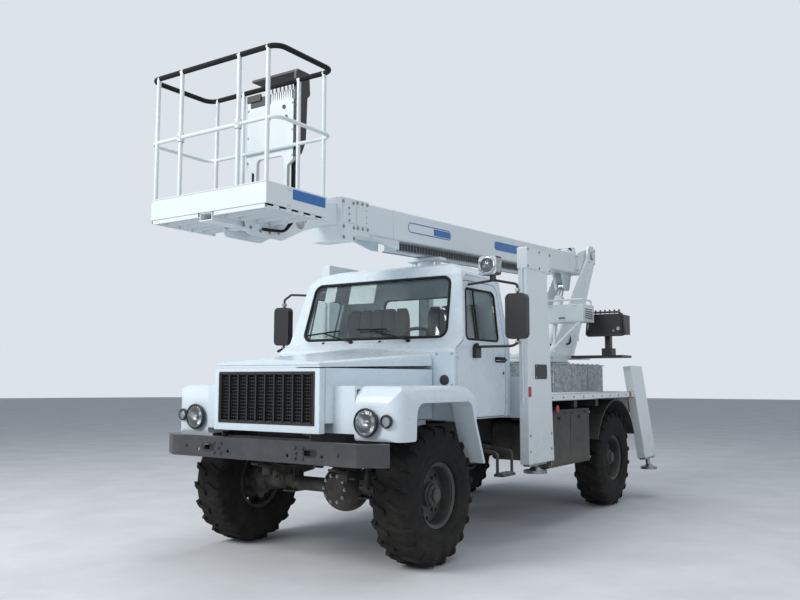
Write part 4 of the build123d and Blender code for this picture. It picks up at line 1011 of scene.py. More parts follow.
class CHERRY_OT_seats(Piece):
    """Crowned seat cushions and backs with sewn channels"""
    bl_idname = "cherry.seats"
    bl_label = "Seats"

    def make(self):
        for name, x in (("driver", (180, 700)), ("bench", (-760, -60))):
            wide = x[1] - x[0]
            channels = 4 if wide < 600 else 5
            form = Form()
            for i in range(channels):
                span = (x[0] + wide * i / channels + 1, x[0] + wide * (i + 1) / channels - 1)
                cushion(form, span, (782, 1248), (1346, 1478), 6, 16)
                cushion(form, span, (1205, 1300), (1486, 2078), 4, 22)
            piece = form.finish("seat_cushions_" + name, "chassis", "vinyl",
                                ["cab_seats"] if name == "bench" else ())
            base = Form()
            base.block((x[0] + 60, x[1] - 60), (900, 1180), (1103, 1344))
            for post in (x[0] + 70, x[1] - 70):
                base.bar([(post, 1252, 1380), (post, 1310, 1420), (post, 1318, 1960)], 12, bend=30)
            base.finish("seat_frame_" + name, "chassis", "chassis", edge=3)


class CHERRY_OT_mirrors(Piece):
    """Mirror shells, glasses and the clamps and brackets of their arms"""
    bl_idname = "cherry.mirrors"
    bl_label = "Mirrors"

    def make(self):
        for side, name in sides:
            shell, pane, clamp = Form(), Form(), Form()
            shell.plate([rounded(rect((1212, 1388), (1737, 2103), 40))], (0, 803, 0), X, Z, -9)
            pane.plate([rounded(rect((1216, 1384), (1741, 2099), 36))], (0, 874.5, 0), X, Z, -3)
            for z in (1700, 2140):
                clamp.block((1284, 1316), (828, 868), (z - 14, z + 14))
                clamp.bolt((1316, 850, z), X, 7, 6)
            shell.block((950, 986), (698, 790), (1574, 1668))
            shell.turned([(17, 0), (17, 24), (11, 32), (0, 32)], (970, 744, 1668), Z, 20)
            if side > 0:
                clamp.block((1110, 1150), (696, 706), (2258, 2300))
            for form, kind, finish, edge in ((shell, "mirror_shell_", "black", 2),
                                             (pane, "mirror_glass_", "chrome", 0),
                                             (clamp, "mirror_clamps_", "bolt", 2)):
                form.on(side).finish(kind + name, "door_" + name, finish, edge=edge)


class CHERRY_OT_running_gear(Piece):
    """Spring clamps, dampers, axle cover bolts, tank straps, step treads and bumper bolts"""
    bl_idname = "cherry.running_gear"
    bl_label = "Running gear"

    def make(self):
        form, bolts = Form(), Form()
        for y, away in ((0, -1), (wheelbase, 1)):
            for side, _ in sides:
                x = side * 395
                for dy in (-52, 52):
                    form.bar([(x - 47, y + dy, 470), (x - 47, y + dy, 676), (x + 47, y + dy, 676),
                              (x + 47, y + dy, 470)], 9, bend=22)
                    bolts.bolts([(x + dx, y + dy, 466) for dx in (-47, 47)], -Z, 12, 14)
                form.block((x - 62, x + 62), (y - 72, y + 72), (454, 466))
                for reach in (-330, 330):
                    form.block((x - 42, x + 42), (y + reach - 14, y + reach + 14), (616, 700))
                for reach in (-615, 615):
                    bolts.bolts([(x + side * 36, y + reach, z) for z in (768, 790)], X * side, 9, 8)
            cover = [(170 + a, y + 165 * away, wheel_z + b) for a, b in ring(105, 10)]
            bolts.bolts(cover, (0, away, 0), 9, 9)
        form.finish("spring_clamps", "chassis", "chassis", edge=1.5)
        bolts.finish("chassis_bolts", "chassis", "bolt")
        self.dampers()
        self.tanks()
        self.treads()
        self.bumper()

    def dampers(self):
        """A leaning damper beside each spring, with a pin through each of its eyes."""
        damper = Form()
        for y, lean in ((-150, 40), (wheelbase + 150, -40)):
            for side, _ in sides:
                x = side * 475
                low, high = Vector((x, y, 560)), Vector((x - side * 5, y + lean, 850))
                way = (high - low).normalized()
                damper.turned([(0, 0), (24, 2), (24, 150), (0, 152)], low, way, 20)
                damper.turned([(0, 130), (30, 132), (30, 275), (0, 277)], low, way, 20)
                damper.bar([low - X * side * 60, low + X * side * 14], 14)
                damper.bar([high - X * side * 36, high + X * side * 14], 14)
        damper.finish("dampers", "chassis", "chassis")

    def tanks(self):
        """Straps and the filler cap of the fuel tank, and the lid of the battery box."""
        form = Form()
        for y in (2075, 2475):
            form.block((460, 842), (y, y + 34), (984, 990))
            form.block((840, 846), (y, y + 34), (640, 984))
        form.turned([(0, 0), (34, 0), (36, 26), (30, 34), (0, 34)], (640, 2300, 978), Z, 28)
        form.block((-832, -450), (1996, 2504), (958, 974))
        form.finish("tank_straps", "chassis", "chassis", edge=1.5)

    def treads(self):
        """Grip bars on the cab's steps."""
        form = Form()
        for side, _ in sides:
            for i in range(5):
                x = side * (1045 - 32 + i * 16)
                form.block((x - 3, x + 3), (975, 1195), (590, 599))
        form.finish("step_treads", "chassis", "steel", edge=1)

    def bumper(self):
        """Bolts on the bumper, a rim round each of its slots and a towing pin behind it."""
        bumper = Form()
        spots = ((375, 905), (445, 905), (375, 830), (445, 830), (760, 871))
        bumper.bolts([(s * x, -871, z) for s, _ in sides for x, z in spots], -Y, 10, 8)
        for side, _ in sides:
            x = side * 510
            rim = rounded(rect((x - 66, x + 66), (842, 900), 28))
            inner = rounded(rect((x - 58, x + 58), (850, 892), 20))
            bumper.plate([rim, inner], (0, -874, 0), X, Z, -8)
            bumper.bar([(x, -835, 871), (x, -800, 871)], 30, count=20)
        bumper.finish("bumper_fittings", "chassis", "bumper", edge=1.2)


class CHERRY_OT_outriggers(Piece):
    """Hatches, bolts, reflectors, foot plates and clipped pipes of the outriggers"""
    bl_idname = "cherry.outriggers"
    bl_label = "Outriggers"

    def make(self):
        for side, name in sides:
            dark, bolts, film_form, trim = Form(), Form(), Form(), Form()
            dark.plate([rounded(rect((1436, 1686), (1400, 1530), 10))], (1178, 0, 0), Y, Z, 5)
            bolts.bolts([(1183, y, z) for y in (1450, 1672) for z in (1414, 1516)], X, 6, 5)
            bolts.bolts([(1178, y, z) for y in (1320, 1560, 1790) for z in (2410, 2560)], X, 9, 6)
            for z in (760, 900):
                bolts.bolts([(1170, y, z) for y in (1345, 1790)], X, 9, 6)
            film_form.plate([rounded(rect((1310, 1370), (1240, 1330), 4))], (1170, 0, 0), Y, Z, 1.5)
            for spot in ((2091, 1113), (4210, 1222)):
                film_form.plate([ring(38, 28, spot)], (1100.3, 0, 0), Y, Z, 7)
            trim.block((1083, 1173), (1303, 1850), (2384, 2392))
            trim.bar([(1128, 1290, 1180), (1128, 1290, 2380), (1128, 1310, 2440)], 8, bend=30)
            for z in (1250, 1550, 1850, 2150):
                trim.block((1112, 1144), (1282, 1307), (z - 9, z + 9))
            for form, kind, finish in ((dark, "outrigger_hatch_", "black"),
                                       (bolts, "outrigger_bolts_", "bolt"),
                                       (film_form, "side_reflectors_", "reflector"),
                                       (trim, "outrigger_pipe_", "lift")):
                form.on(side).finish(kind + name, "chassis", finish)
            self.feet(side, name)

    def feet(self, side, name):
        """A pressed foot plate with its ring of bolts under each leg."""
        lean, reach = radians(8), 840
        rear_x, rear_z = 1062 + reach * sin(lean), 1190 - reach * cos(lean)
        for kind, x, y, z, bolt_z, radius in (("front", 1128, 1521, 560, 584, 105),
                                              ("rear", rear_x, 4590, rear_z - 20, rear_z + 8, 95)):
            form = Form()
            form.turned([(radius + 1, 2), (radius + 1, 12), (radius - 12, 22), (60, 32), (42, 50), (30, 58),
                         (26, 58)], (x, y, z), Z, 40)
            form.bolts([(x + a, y + b, bolt_z) for a, b in ring(74, 6)], Z, 7, 6)
            form.on(side).finish(kind + "_foot_plate_" + name, kind + "_leg_" + name, "steel", edge=1)


# Where the side boxes' doors are
box_x = 1080


class CHERRY_OT_deck(Piece):
    """Chequer plate, edge rails and side box lids on the deck"""
    bl_idname = "cherry.deck"
    bl_label = "Deck"

    def make(self):
        self.chequers()
        self.rails()
        self.lids()

    def chequers(self):
        """Raised lozenges over the deck, turned this way and that, clear of the pedestal."""
        form = Form()
        pitch, half_long, half_wide, top = 52, 17, 4.5, 1255
        for i in range(int(2160 / pitch)):
            for j in range(int(2420 / pitch)):
                x, y = -1070 + i * pitch, 1925 + j * pitch
                if abs(x) < 672 and 3030 < y < 4570:
                    continue
                turn = pi / 4 if (i + j) % 2 else -pi / 4
                along = Vector((cos(turn), sin(turn), 0)) * half_long
                across = Vector((-sin(turn), cos(turn), 0)) * half_wide
                mid = Vector((x, y, top))
                foot = [form.mesh.verts.new(at(*(mid + p))) for p in (along, across, -along, -across)]
                ridge = [form.mesh.verts.new(at(*(mid + p * 0.55 + Z * 2.2))) for p in (along, -along)]
                for face in ((foot[0], foot[1], ridge[0]), (foot[2], foot[3], ridge[1]),
                             (foot[1], foot[2], ridge[1], ridge[0]), (foot[3], foot[0], ridge[0], ridge[1])):
                    form.mesh.faces.new(face)
        form.finish("chequer_plate", "chassis", "aluminium")

    def rails(self):
        """The deck's edge rails, and bolts along them and on the side boxes."""
        rail, bolts = Form(), Form()
        edge_x, thick, lamp_y = 1100, 5, 4210
        spots = [y for y in range(1980, 4340, 260) if abs(y - lamp_y) > 60]
        for side, _ in sides:
            rail.side_block(side * edge_x, side, thick, (1902, 4358), (1196, 1250))
            bolts.bolts([(side * (edge_x + thick), y, 1223) for y in spots], X * side, 8, 6)
        rail.block((-1098, 1098), (1894, 1900), (1196, 1250))
        rail.finish("deck_rails", "chassis", "lift", edge=1.5)
        for side, _ in sides:
            x = side * (box_x + 14)
            bolts.bolts([(x, y, z) for y in (1950, 2930) for z in (600, 1060)], X * side, 8, 6)
        bolts.finish("deck_bolts", "chassis", "bolt")

    def lids(self):
        """A lid with its handle and two hinges on each side box."""
        boxes = Form()
        for side, _ in sides:
            x, hinge_x = side * box_x, side * (box_x + 14)
            for y in (1940, 2440):
                boxes.side_plate([rounded(rect((y, y + 490), (590, 1070), 18))], x, side, 12)
                boxes.side_block(x, side, 30, (y + 200, y + 290), (1010, 1036))
                for near in (y + 40, y + 370):
                    boxes.bar([(hinge_x, near, 1066), (hinge_x, near + 80, 1066)], 9)
        boxes.finish("side_box_lids", "chassis", "chassis", edge=2)


class CHERRY_OT_turret(Piece):
    """Ring and pin bolts, valve box lid, hydraulic pipes and the turret's control levers"""
    bl_idname = "cherry.turret"
    bl_label = "Turret"

    def make(self):
        self.ring_bolts()
        self.pins()
        self.valve_box()
        self.console()
        self.pipes()

    def ring_bolts(self):
        """Bolts of the pedestal and the turntable, the pedestal's covers and the slewing gear."""
        fixed, turning = Form(), Form()
        spots = [(x, y, 1575) for y in (3064, 4536) for x in range(-600, 601, 150)]
        spots += [(x, y, 1575) for x in (-630, 630) for y in range(3200, 4500, 150)]
        fixed.bolts([s for s in spots if hypot(s[0], s[1] - turntable_y) > 500], Z, 12, 9)
        fixed.finish("pedestal_bolts", "chassis", "bolt")
        table = [(a, turntable_y + b, 1689) for a, b in ring(400, 26) if abs(a) > 250 or b < 300]
        turning.bolts(table, Z, 12, 10)
        turning.finish("turntable_bolts", "turret", "bolt")
        covers, gear = Form(), Form()
        for side, _ in sides:
            for y in (3070, 3560, 4050):
                covers.side_plate([rounded(rect((y, y + 450), (1285, 1535), 20))], side * 650, side, 4)
        covers.finish("pedestal_covers", "chassis", "zinc", edge=1.5)
        teeth, root, tip = 96, 478, 490
        outline = []
        for i in range(teeth):
            for r, share in ((root, 0.0), (tip, 0.3), (tip, 0.6), (root, 0.9)):
                turn = 2 * pi * (i + share) / teeth
                outline.append((r * cos(turn), turntable_y + r * sin(turn)))
        gear.plate([outline, ring(460, 96, (0, turntable_y))], (0, 0, 1577), X, Y, 22)
        gear.finish("slewing_gear", "chassis", "steel")

    def pins(self):
        """The caps of the boom's and the cylinder's pins, bolts and ribs on the turret's cheeks."""
        form, ribs = Form(), Form()
        cheek_x = 212
        corners = ((5290, 3170), (5500, 3170), (5290, 2990), (5500, 2990))
        rib = rounded([(4560, 1690, 0), (4660, 1690, 0), (5090, 2330, 60), (5290, 2860, 60), (5250, 2880, 30),
                       (5010, 2350, 60)])
        for side, _ in sides:
            out = X * side
            form.turned([(62, 0), (62, 10), (50, 16), (0, 16)], (side * cheek_x, pivot_y, pivot_z), out, 40)
            cap = [(side * (cheek_x + 16), pivot_y + a, pivot_z + b) for a, b in ring(36, 4)]
            form.bolts(cap, out, 7, 5)
            form.turned([(42, 0), (42, 8), (0, 10)], (side * 92, 4350, 1789), out, 32)
            form.bolts([(side * cheek_x, y, z) for y, z in corners], out, 10, 8)
            ribs.side_plate([rib], side * cheek_x, side, 14)
        form.finish("turret_pins", "turret", "bolt")
        ribs.finish("turret_ribs", "turret", "lift", edge=2)

    def valve_box(self):
        """The valve box's lid and front cover, with its handles, latch and louvres."""
        form, latch = Form(), Form()
        form.plate([rounded(rect((240, 737), (3708, 4032), 14))], (0, 0, 2270), X, Y, 5)
        form.plate([rounded(rect((250, 727), (2085, 2255), 12))], (0, 3699.5, 0), X, Z, 4)
        for x in (300, 620):
            form.bar([(x, 3694, 2262), (x + 60, 3694, 2262)], 7)
        latch.bar([(455, 3692, 2110), (455, 3680, 2116), (520, 3680, 2116), (520, 3692, 2110)], 6, bend=8)
        for i in range(5):
            latch.block((746, 750), (3760, 3980), (2110 + i * 26, 2118 + i * 26))
        form.finish("valve_box_lid", "turret", "lift", edge=1.5)
        latch.finish("valve_box_latch", "turret", "black")

    def console(self):
        """The lower console's guard, its six levers and its two gauges."""
        cover, levers, gauge = Form(), Form(), Form()
        cover.plate([rounded([(622, 1922, 24), (1098, 1922, 24), (1052, 2176, 34), (668, 2176, 34)])],
                    (0, 4118, 0), X, Z, 8)
        middle, half = 860, ((200, 4122, 2170), (214, 4096, 2150), (238, 4096, 1936), (210, 4096, 1918))
        cover.bar([(middle - a, y, z) for a, y, z in half] + [(middle + a, y, z) for a, y, z in half[::-1]],
                  11, bend=26)
        for i in range(6):
            x = 712 + i * 58
            levers.turned([(17, 0), (14, 8), (9, 14), (0, 15)], (x, 4170, 2160), Z, 20)
            levers.bar([(x, 4180, 2158), (x, 4186, 2214)], 5)
            levers.turned([(0, 0), (10, 4), (12, 12), (9, 22), (0, 25)], (x, 4186, 2208), Z, 20)
        for radius, deep, spot in ((23, 8, (1012, 4110, 1996)), (12, 6, (952, 4110, 1972))):
            gauge.turned([(radius, 0), (radius, deep), (radius - 4, deep + 2), (radius - 6, deep - 1),
                          (0, deep - 1)], spot, -Y, 28)
        cover.finish("console_cover", "turret", "black", edge=1)
        levers.finish("console_levers", "turret", "black")
        gauge.finish("console_gauges", "turret", "bolt")

    def pipes(self):
        """Four hydraulic pipes from the turntable up to the boom's foot, and their clips."""
        hoses, clips = Form(), Form()
        for i in range(4):
            x = 60 + i * 28
            hoses.bar([(x, 3960, 1689), (x, 3960, 1790), (x, 4200 + i * 8, 1830), (x + 90, 4560, 1850),
                       (172, 4760 - i * 34, 2010 + i * 18), (172, 5110 - i * 34, 2560 + i * 12),
                       (168, 5230 - i * 30, 2860)], 11, bend=110)
        for y, z in ((4700, 1990), (4880, 2260), (5030, 2500)):
            clips.block((158, 182), (y - 60, y + 90), (z - 14, z + 14))
        hoses.finish("turret_pipes", "turret", "hose")
        clips.finish("turret_clips", "turret", "bolt", edge=1)


boom_slope = 2.0


def on_boom(reach, height, x=0):
    """A point at a reach along the boom from its pivot and a height over its top line."""
    slope = radians(boom_slope)
    y = pivot_y - reach * cos(slope) - height * sin(slope)
    z = pivot_z - reach * sin(slope) + height * cos(slope)
    return Vector((x, y, z))


boom_way = (on_boom(1000, 0) - on_boom(0, 0)).normalized()
boom_up = (on_boom(0, 1000) - on_boom(0, 0)).normalized()


def boom_plate(form, loops, x, side, thick):
    """A plate from loops of (minus reach, height) that stands outwards from x on the boom's side."""
    origin = on_boom(0, 0, side * x) - X * (0 if side > 0 else thick)
    form.plate(loops, origin, -boom_way, boom_up, thick)


def boom_pad(form, corners, x, side, thick):
    """A pad on the boom's side from corners of (reach, height, radius)."""
    boom_plate(form, [[(-a, b) for a, b in rounded(corners)]], x, side, thick)


class CHERRY_OT_boom(Piece):
    """Collar plates, wear pad screws, clipped pipes, the chain tray and bands on the boom"""
    bl_idname = "cherry.boom"
    bl_label = "Boom"

    def make(self):
        self.collars()
        self.tray()
        self.bands()
        self.top_bracket()

    def collars(self):
        """Bolts and wear pad covers on the boom's foot and on the collars of its two outer sections."""
        bolts, pads = Form(), Form()
        bolt_radius = round(sizes().bolt / MM, 3)
        for side, _ in sides:
            for reach in (5135, 5205, 5275):
                for height in (-20, -236):
                    bolts.bolt(on_boom(reach, height, side * collar_x), X * side, bolt_radius, 9)
            for height in (-75, -128, -180):
                bolts.bolt(on_boom(5155, height, side * collar_x), X * side, 7, 7)
            for reach in (5125, 5215, 5285):
                bolts.bolt(on_boom(reach, 4, side * 110), boom_up, 9, 8)
            for reach, height in ((430, -40), (430, -230), (90, -240), (-60, -20), (-60, 60), (50, 60)):
                bolts.bolt(on_boom(reach, height, side * 172), X * side, 9, 8)
            boom_pad(pads, rect((5118, 5292), (-215, -45), 12), collar_x, side, 5)
            for reach in ((600, 640), (4700, 4730)):
                boom_pad(pads, rect(reach, (-268, -2), 4), boom_x, side, 5)
        bolts.finish("boom_bolts", "boom_outer", "bolt")
        pads.finish("boom_pads", "boom_outer", "lift", edge=1.5)
        mouth, screws = Form(), Form()
        for side, _ in sides:
            boom_pad(mouth, rect((5318, 5482), (-205, -58), 10), collar_x, side, 6)
            for reach in (5330, 5470):
                for height in (-30, -330, -240):
                    screws.bolt(on_boom(reach, height, side * collar_x), X * side, bolt_radius, 9)
            for height in (-80, -130, -185):
                screws.bolt(on_boom(5400, height, side * (collar_x + 6)), X * side, 8, 8)
            for reach in (5340, 5460):
                screws.bolt(on_boom(reach, 4, side * 90), boom_up, 9, 8)
        mouth.finish("middle_plates", "boom_middle", "lift", edge=2)
        screws.finish("middle_bolts", "boom_middle", "bolt")

    def tray(self):
        """The energy chain's links between their rails under the boom, and three clipped pipes beside it."""
        links, edge, pipes, clips = Form(), Form(), Form(), Form()
        for i in range(56):
            reach = 1730 + i * 50
            low, high = on_boom(reach, -346), on_boom(reach + 36, -276)
            links.block((-76, 76), sorted((low.y, high.y)),
                        (on_boom(reach + 18, -349).z, on_boom(reach + 18, -280).z))
        for side, _ in sides:
            for height in (-352, -276):
                edge.bar([on_boom(1690, height, side * 80), on_boom(4570, height, side * 80)], 7)
        for height in (-60, -84, -108):
            pipes.bar([on_boom(560, height, -158), on_boom(4690, height, -158)], 8, count=12)
        for reach in range(800, 4700, 520):
            low, high = on_boom(reach, -122), on_boom(reach + 30, -46)
            clips.block((-170, -149), sorted((low.y, high.y)), sorted((low.z, high.z)))
        links.finish("chain_links", "boom_outer", "black", edge=2)
        edge.finish("chain_tray_rails", "boom_outer", "bolt")
        pipes.finish("boom_pipes", "boom_outer", "hose")
        clips.finish("boom_pipe_clips", "boom_outer", "bolt", edge=1)

    def bands(self):
        """Plain bands of film on the boom's sides: one full, and two outlines each filled in part."""
        band, film_mm, film_x = Form(), 1.2, boom_x + 0.2
        line, gap = 9, 16
        for side, _ in sides:
            for near, far, low, high, full in ((3700, 4480, -178, -82, False), (2120, 2760, -176, -80, True),
                                               (1500, 1820, -172, -84, False)):
                half = (high - low) / 2
                outer = rounded([(-near, low, half - 1), (-near, high, half - 1), (-far, high, half - 1),
                                 (-far, low, half - 1)], 8)
                if full:
                    boom_plate(band, [outer], film_x, side, film_mm)
                    continue
                bend = half - line - 1
                inner = rounded([(-near - line, low + line, bend), (-near - line, high - line, bend),
                                 (-far + line, high - line, bend), (-far + line, low + line, bend)], 8)
                boom_plate(band, [outer, inner], film_x, side, film_mm)
                split, bend = near + (far - near) * 0.42, half - gap - 2
                fill = rounded([(-near - gap, low + gap, bend), (-near - gap, high - gap, bend),
                                (-split, high - gap, 3), (-split, low + gap, 3)], 8)
                boom_plate(band, [fill], film_x, side, film_mm)
        band.finish("boom_bands", "boom_outer", "band")

    def top_bracket(self):
        """Four cheeks with two cross pins on top of the boom's foot."""
        form = Form()
        cheek = rounded([(-260, 0, 0), (-640, 0, 0), (-560, 62, 20), (-330, 96, 30)])
        for side, _ in sides:
            for x in (60, 90):
                form.plate([cheek], on_boom(0, 0, side * x - 6), -boom_way, boom_up, 12)
        for reach, height, radius in ((330, 70, 16), (560, 40, 11)):
            form.bar([on_boom(reach, height, -100), on_boom(reach, height, 100)], radius, count=20)
        form.finish("boom_top_bracket", "boom_outer", "lift", edge=1.5)


class CHERRY_OT_tip(Piece):
    """Pin caps and bolts at the boom's tip, black plates of painted shade where its slots are, and bolts on
    the basket's bracket
    """
    bl_idname = "cherry.tip"
    bl_label = "Boom tip"

    def make(self):
        form, bolts, dark, base = Form(), Form(), Form(), Form()
        tip_spots = ((-330, 2790), (-330, 2690), (-420, 2740), (-470, 2640))
        base_spots = ((-800, 2490), (-900, 2480), (-1000, 2478), (-1100, 2490))
        slot = rounded([(-440, 2668, 12), (-360, 2700, 12), (-360, 2740, 12), (-450, 2704, 12)])
        for side, _ in sides:
            out, tip_x, bracket_x = X * side, side * 100, side * 122
            form.turned([(44, 0), (44, 8), (36, 14), (0, 14)], (bracket_x, tip_y, tip_z), out, 36)
            bolts.bolts([(side * 136, tip_y + a, tip_z + b) for a, b in ring(24, 3)], out, 5, 4)
            bolts.bolts([(tip_x, y, z) for y, z in tip_spots], out, 9, 8)
            # The slots are not cut: a black plate on each cheek is painted shade in place of the open slot.
            dark.side_plate([slot], tip_x, side, 3)
            base.bolts([(bracket_x, y, z) for y, z in base_spots], out, 9, 8)
        form.finish("tip_pin_caps", "boom_inner", "bolt")
        bolts.finish("tip_bolts", "boom_inner", "bolt")
        dark.finish("tip_slot_painted_shade", "boom_inner", "black")
        base.finish("bracket_bolts", "basket", "bolt")


# Where the posts stand, from right to left, in the front and the rear row
gate_posts = (-300, 285)
rail_posts = {basket_front: (-558, *gate_posts, 558), basket_rear: (-558, -262, 312, 558)}


class CHERRY_OT_basket(Piece):
    """Basket rails with a foam sleeve, floor planks, ribs underneath and kick boards"""
    bl_idname = "cherry.basket"
    bl_label = "Basket"

    def make(self):
        self.rails()
        self.floor()
        self.gate()

    def loop(self, z):
        """The rail's line round the basket at a height."""
        corners = rect((-640, 640), (basket_front, basket_rear), 80)
        return [(p.x, p.y, z) for p in rounded(corners, 8)]

    def rails(self):
        """Top and middle rails on their posts, the posts' feet and the foam sleeve on the top rail."""
        form, sleeve, feet = Form(), Form(), Form()
        thick = sizes().sleeve / MM
        form.bar(self.loop(rail_top), 15, count=16, closed=True)
        path = self.loop(rail_middle)
        first = next(i for i, p in enumerate(path) if p[0] > 400 and p[1] < -1300)
        ends = [(x, basket_front, rail_middle) for x in (gate_posts[1] + 18, gate_posts[0] - 18)]
        form.bar([ends[0], *path[first:], *path[:first], ends[1]], 14, count=16)
        for y, row in rail_posts.items():
            for x in row:
                form.bar([(x, y, pan_top), (x, y, rail_top)], 16, count=16)
                feet.block((max(x - 30, -pan_x), min(x + 30, pan_x)),
                           (max(y - 30, pan_front), min(y + 30, pan_rear)), (pan_top - 0.5, 2599))
                feet.turned([(19, 0), (19, 16), (17, 20)], (x, y, 2598), Z, 20)
            for near, far in zip(row, row[1:]):
                sleeve.bar([(near + 17, y, rail_top), (far - 17, y, rail_top)], thick, count=18)
        for side, _ in sides:
            end = sorted((p for p in self.loop(rail_top) if p[0] * side > 0), key=lambda p: p[1])
            sleeve.bar(end, thick, count=18)
        form.finish("basket_tubes", "basket", "lift", ["basket_rails"])
        feet.finish("post_feet", "basket", "lift", edge=1.5)
        piece = sleeve.finish("rail_sleeve", "basket", "foam")

    def floor(self):
        """Planks on the floor, ribs under it, the kick boards' lips and end plate, and a plain band."""
        planks, ribs, band, lip = Form(), Form(), Form(), Form()
        plank_pitch, rib_pitch, pan_bottom = 48.3, 127, 2559.7
        for i in range(13):
            y = pan_front + i * plank_pitch
            planks.block((2 - pan_x, pan_x - 2), (y + 1, y + 46), (2592.3, 2597))
        for side, _ in sides:
            near, far = sorted((side * 68, side * pan_x))
            for i in range(5):
                y = pan_front + i * rib_pitch
                ribs.block((near, far), (y, y + 72), (2545, pan_bottom))
                ribs.block((near, far), (y, y + 10), (2529, 2546))
            for x in (near, far - 12):
                ribs.block((x, x + 12), (pan_front, pan_rear), (2533, pan_bottom))
        band.plate([rounded(rect((-1165, -812), (2628, 2700), 4))], (580.2, 0, 0), Y, Z, 1.2)
        lip.plate([rounded(rect((-1431, -1204), (2560, 2709), 3))], (580, 0, 0), Y, Z, 3)
        for y, z in ((-1216, 2580), (-1216, 2690), (-1192, 2580), (-1192, 2690)):
            lip.bolt((583 if y < -1204 else 580, y, z), X, 6, 4)
        for y in (-1430, -790):
            lip.bar([(-578, y, 2708), (578, y, 2708)], 5)
        for x in (-578, 578):
            lip.bar([(x, -1430, 2708), (x, -790, 2708)], 5)
        planks.finish("floor_planks", "basket", "aluminium", edge=1.2)
        ribs.finish("floor_ribs", "basket", "lift", edge=1.5)
        band.finish("basket_band", "basket", "band")
        lip.finish("kick_board_lips", "basket", "lift")

    def gate(self):
        """The gate bar's tube and the sleeve with which it slides on each of its posts."""
        form = Form()
        spots = [(x, basket_front, rail_middle) for x in gate_posts]
        for spot in spots:
            form.turned([(21, -34), (26, -32), (26.5, -26), (26.5, 26), (26, 32), (21, 34)], spot, Z, 28)
            form.bolt(Vector(spot) - Y * 26, -Y, 5, 0.5)
        form.bar(spots, 15.3, count=18)
        form.finish("gate_tube", "gate_bar", "lift", ["gate_bar"])


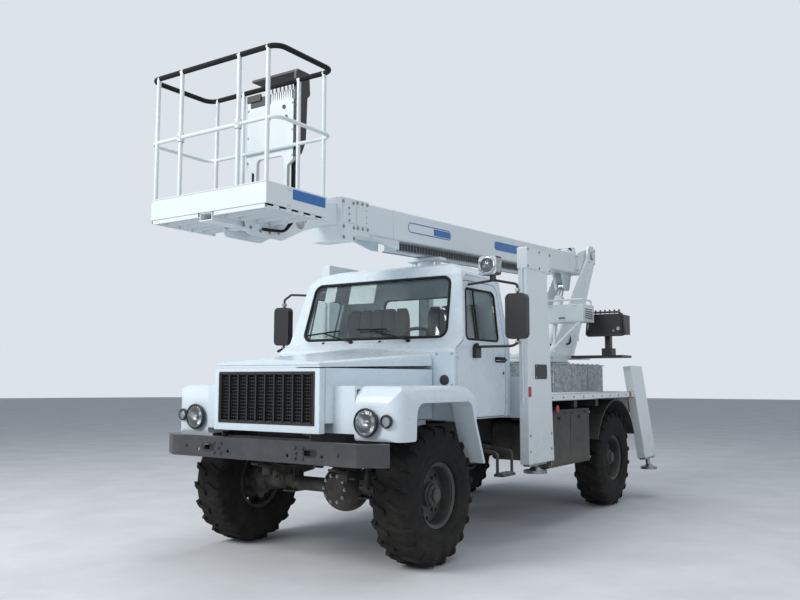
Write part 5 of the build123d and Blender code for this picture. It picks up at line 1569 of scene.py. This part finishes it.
class CHERRY_OT_stand(Piece):
    """The basket's control stand: slotted plate, dark lid and side cover, levers and hoses"""
    bl_idname = "cherry.stand"
    bl_label = "Control stand"

    def make(self):
        self.plate()
        self.cover()
        hoses = Form()
        for x, side in ((-206, -1), (-180, -1), (206, 1), (232, 1)):
            hoses.bar([(x, -752, 3160), (x, -750, 2800), (x, -742, 2600), (side * 160, -780, 2502),
                       (side * 124, -870 - abs(x) / 2, 2494)], 11, bend=60)
        hoses.finish("stand_hoses", "basket", "hose")

    def plate(self):
        """The plate with its comb of teeth, the dark pieces behind and on it, and its bolts."""
        plate, dark, bolts = Form(), Form(), Form()
        line = rounded([(-240, 3040, 10), (-240, 3562, 14), (-204, 3562, 8), (-204, 3515, 14), (8, 3515, 4)])
        for x in range(14, 213, 22):
            line += [Vector(p) for p in ((x, 3532), (x + 4, 3592), (x + 15, 3592), (x + 18, 3532))]
        line += rounded([(245, 3532, 6), (245, 3045, 10), (190, 3010, 20), (190, 2712, 0), (152, 2712, 0),
                         (152, 3092, 38), (-127, 3092, 38), (-127, 2712, 0), (-152, 2712, 0),
                         (-152, 2985, 20)])
        plate.plate([line], (0, -792, 0), X, Z, 4)
        plate.finish("stand_plate", "basket", "lift", edge=1)
        dark.plate([rounded(rect((-202, 240), (3512, 3596), 6))], (0, -790.2, 0), X, Z, 1.6)
        dark.block((-236, -92), (-803, -791), (3566, 3618))
        for x, z in ((151, 3470), (174, 3385)):
            dark.turned([(17, 0), (17, 3), (12, 4), (10, 1), (0, 1)], (x, -795.5, z), -Y, 28)
        dark.finish("stand_slots", "basket", "black", edge=1.5)
        spots = ((7, 3397), (-187, 3421), (-225, 3080), (-225, 3280), (-225, 3500), (232, 3080), (232, 3280),
                 (232, 3490))
        bolts.bolts([(x, -796, z) for x, z in spots], -Y, 7, 5)
        bolts.finish("stand_bolts", "basket", "bolt")

    def cover(self):
        """The dark lid, back box and side cover, and a row of seven levers."""
        dark, levers = Form(), Form()
        dark.block((-215, 261), (-773, -633), (3739, 3757))
        dark.block((-62, 234), (-765, -673), (3377, 3563))
        dark.plate([rounded([(-786.5, 3068, 0), (-786.5, 3740, 0), (-633, 3740, 0), (-621, 3588, 14),
                             (-653, 3553, 12), (-665, 3208, 20), (-713, 3101, 10)])], (237, 0, 0), Y, Z, 24)
        dark.finish("stand_cover", "basket", "black", edge=2)
        for i in range(7):
            x = -36 + i * 40
            levers.bar([(x, -716, 3562), (x, -728, 3668)], 5)
            levers.turned([(0, 0), (9, 6), (11, 20), (8, 32), (0, 36)], (x, -728, 3662), Z, 20)
        levers.finish("stand_levers", "basket", "black")


steps = (CHERRY_OT_finishes, CHERRY_OT_stage, CHERRY_OT_tyres, CHERRY_OT_rims, CHERRY_OT_cab_trim,
         CHERRY_OT_nose, CHERRY_OT_lamps, CHERRY_OT_seats, CHERRY_OT_mirrors, CHERRY_OT_running_gear,
         CHERRY_OT_outriggers, CHERRY_OT_deck, CHERRY_OT_turret, CHERRY_OT_boom, CHERRY_OT_tip,
         CHERRY_OT_basket, CHERRY_OT_stand)


class CHERRY_PT_panel(bpy.types.Panel):
    """Lists the truck's sizes, colours and pieces"""
    bl_idname = "CHERRY_PT_panel"
    bl_label = "Cherry picker truck"
    bl_space_type = "VIEW_3D"
    bl_region_type = "UI"
    bl_category = "Cherry Picker"

    def draw(self, context):
        """A box each for the colours and the sizes, and a button for every piece."""
        for group in (context.scene.cherry_colours, context.scene.cherry_sizes):
            box = self.layout.box()
            for name in group.__annotations__:
                box.prop(group, name)
        for step in steps:
            self.layout.operator(step.bl_idname)


def register():
    """Adds the classes and the two groups of settings to Blender."""
    for kind in (TruckColours, TruckSizes, *steps, CHERRY_PT_panel):
        bpy.utils.register_class(kind)
    bpy.types.Scene.cherry_colours = bpy.props.PointerProperty(type=TruckColours)
    bpy.types.Scene.cherry_sizes = bpy.props.PointerProperty(type=TruckSizes)


def unregister():
    """Takes away what register added."""
    del bpy.types.Scene.cherry_colours
    del bpy.types.Scene.cherry_sizes
    for kind in reversed((TruckColours, TruckSizes, *steps, CHERRY_PT_panel)):
        bpy.utils.unregister_class(kind)


def main():
    """Registers the add-on and makes every piece in order."""
    register()
    for step in steps:
        group, name = step.bl_idname.split(".")
        getattr(getattr(bpy.ops, group), name)()


if __name__ == "__main__":
    main()
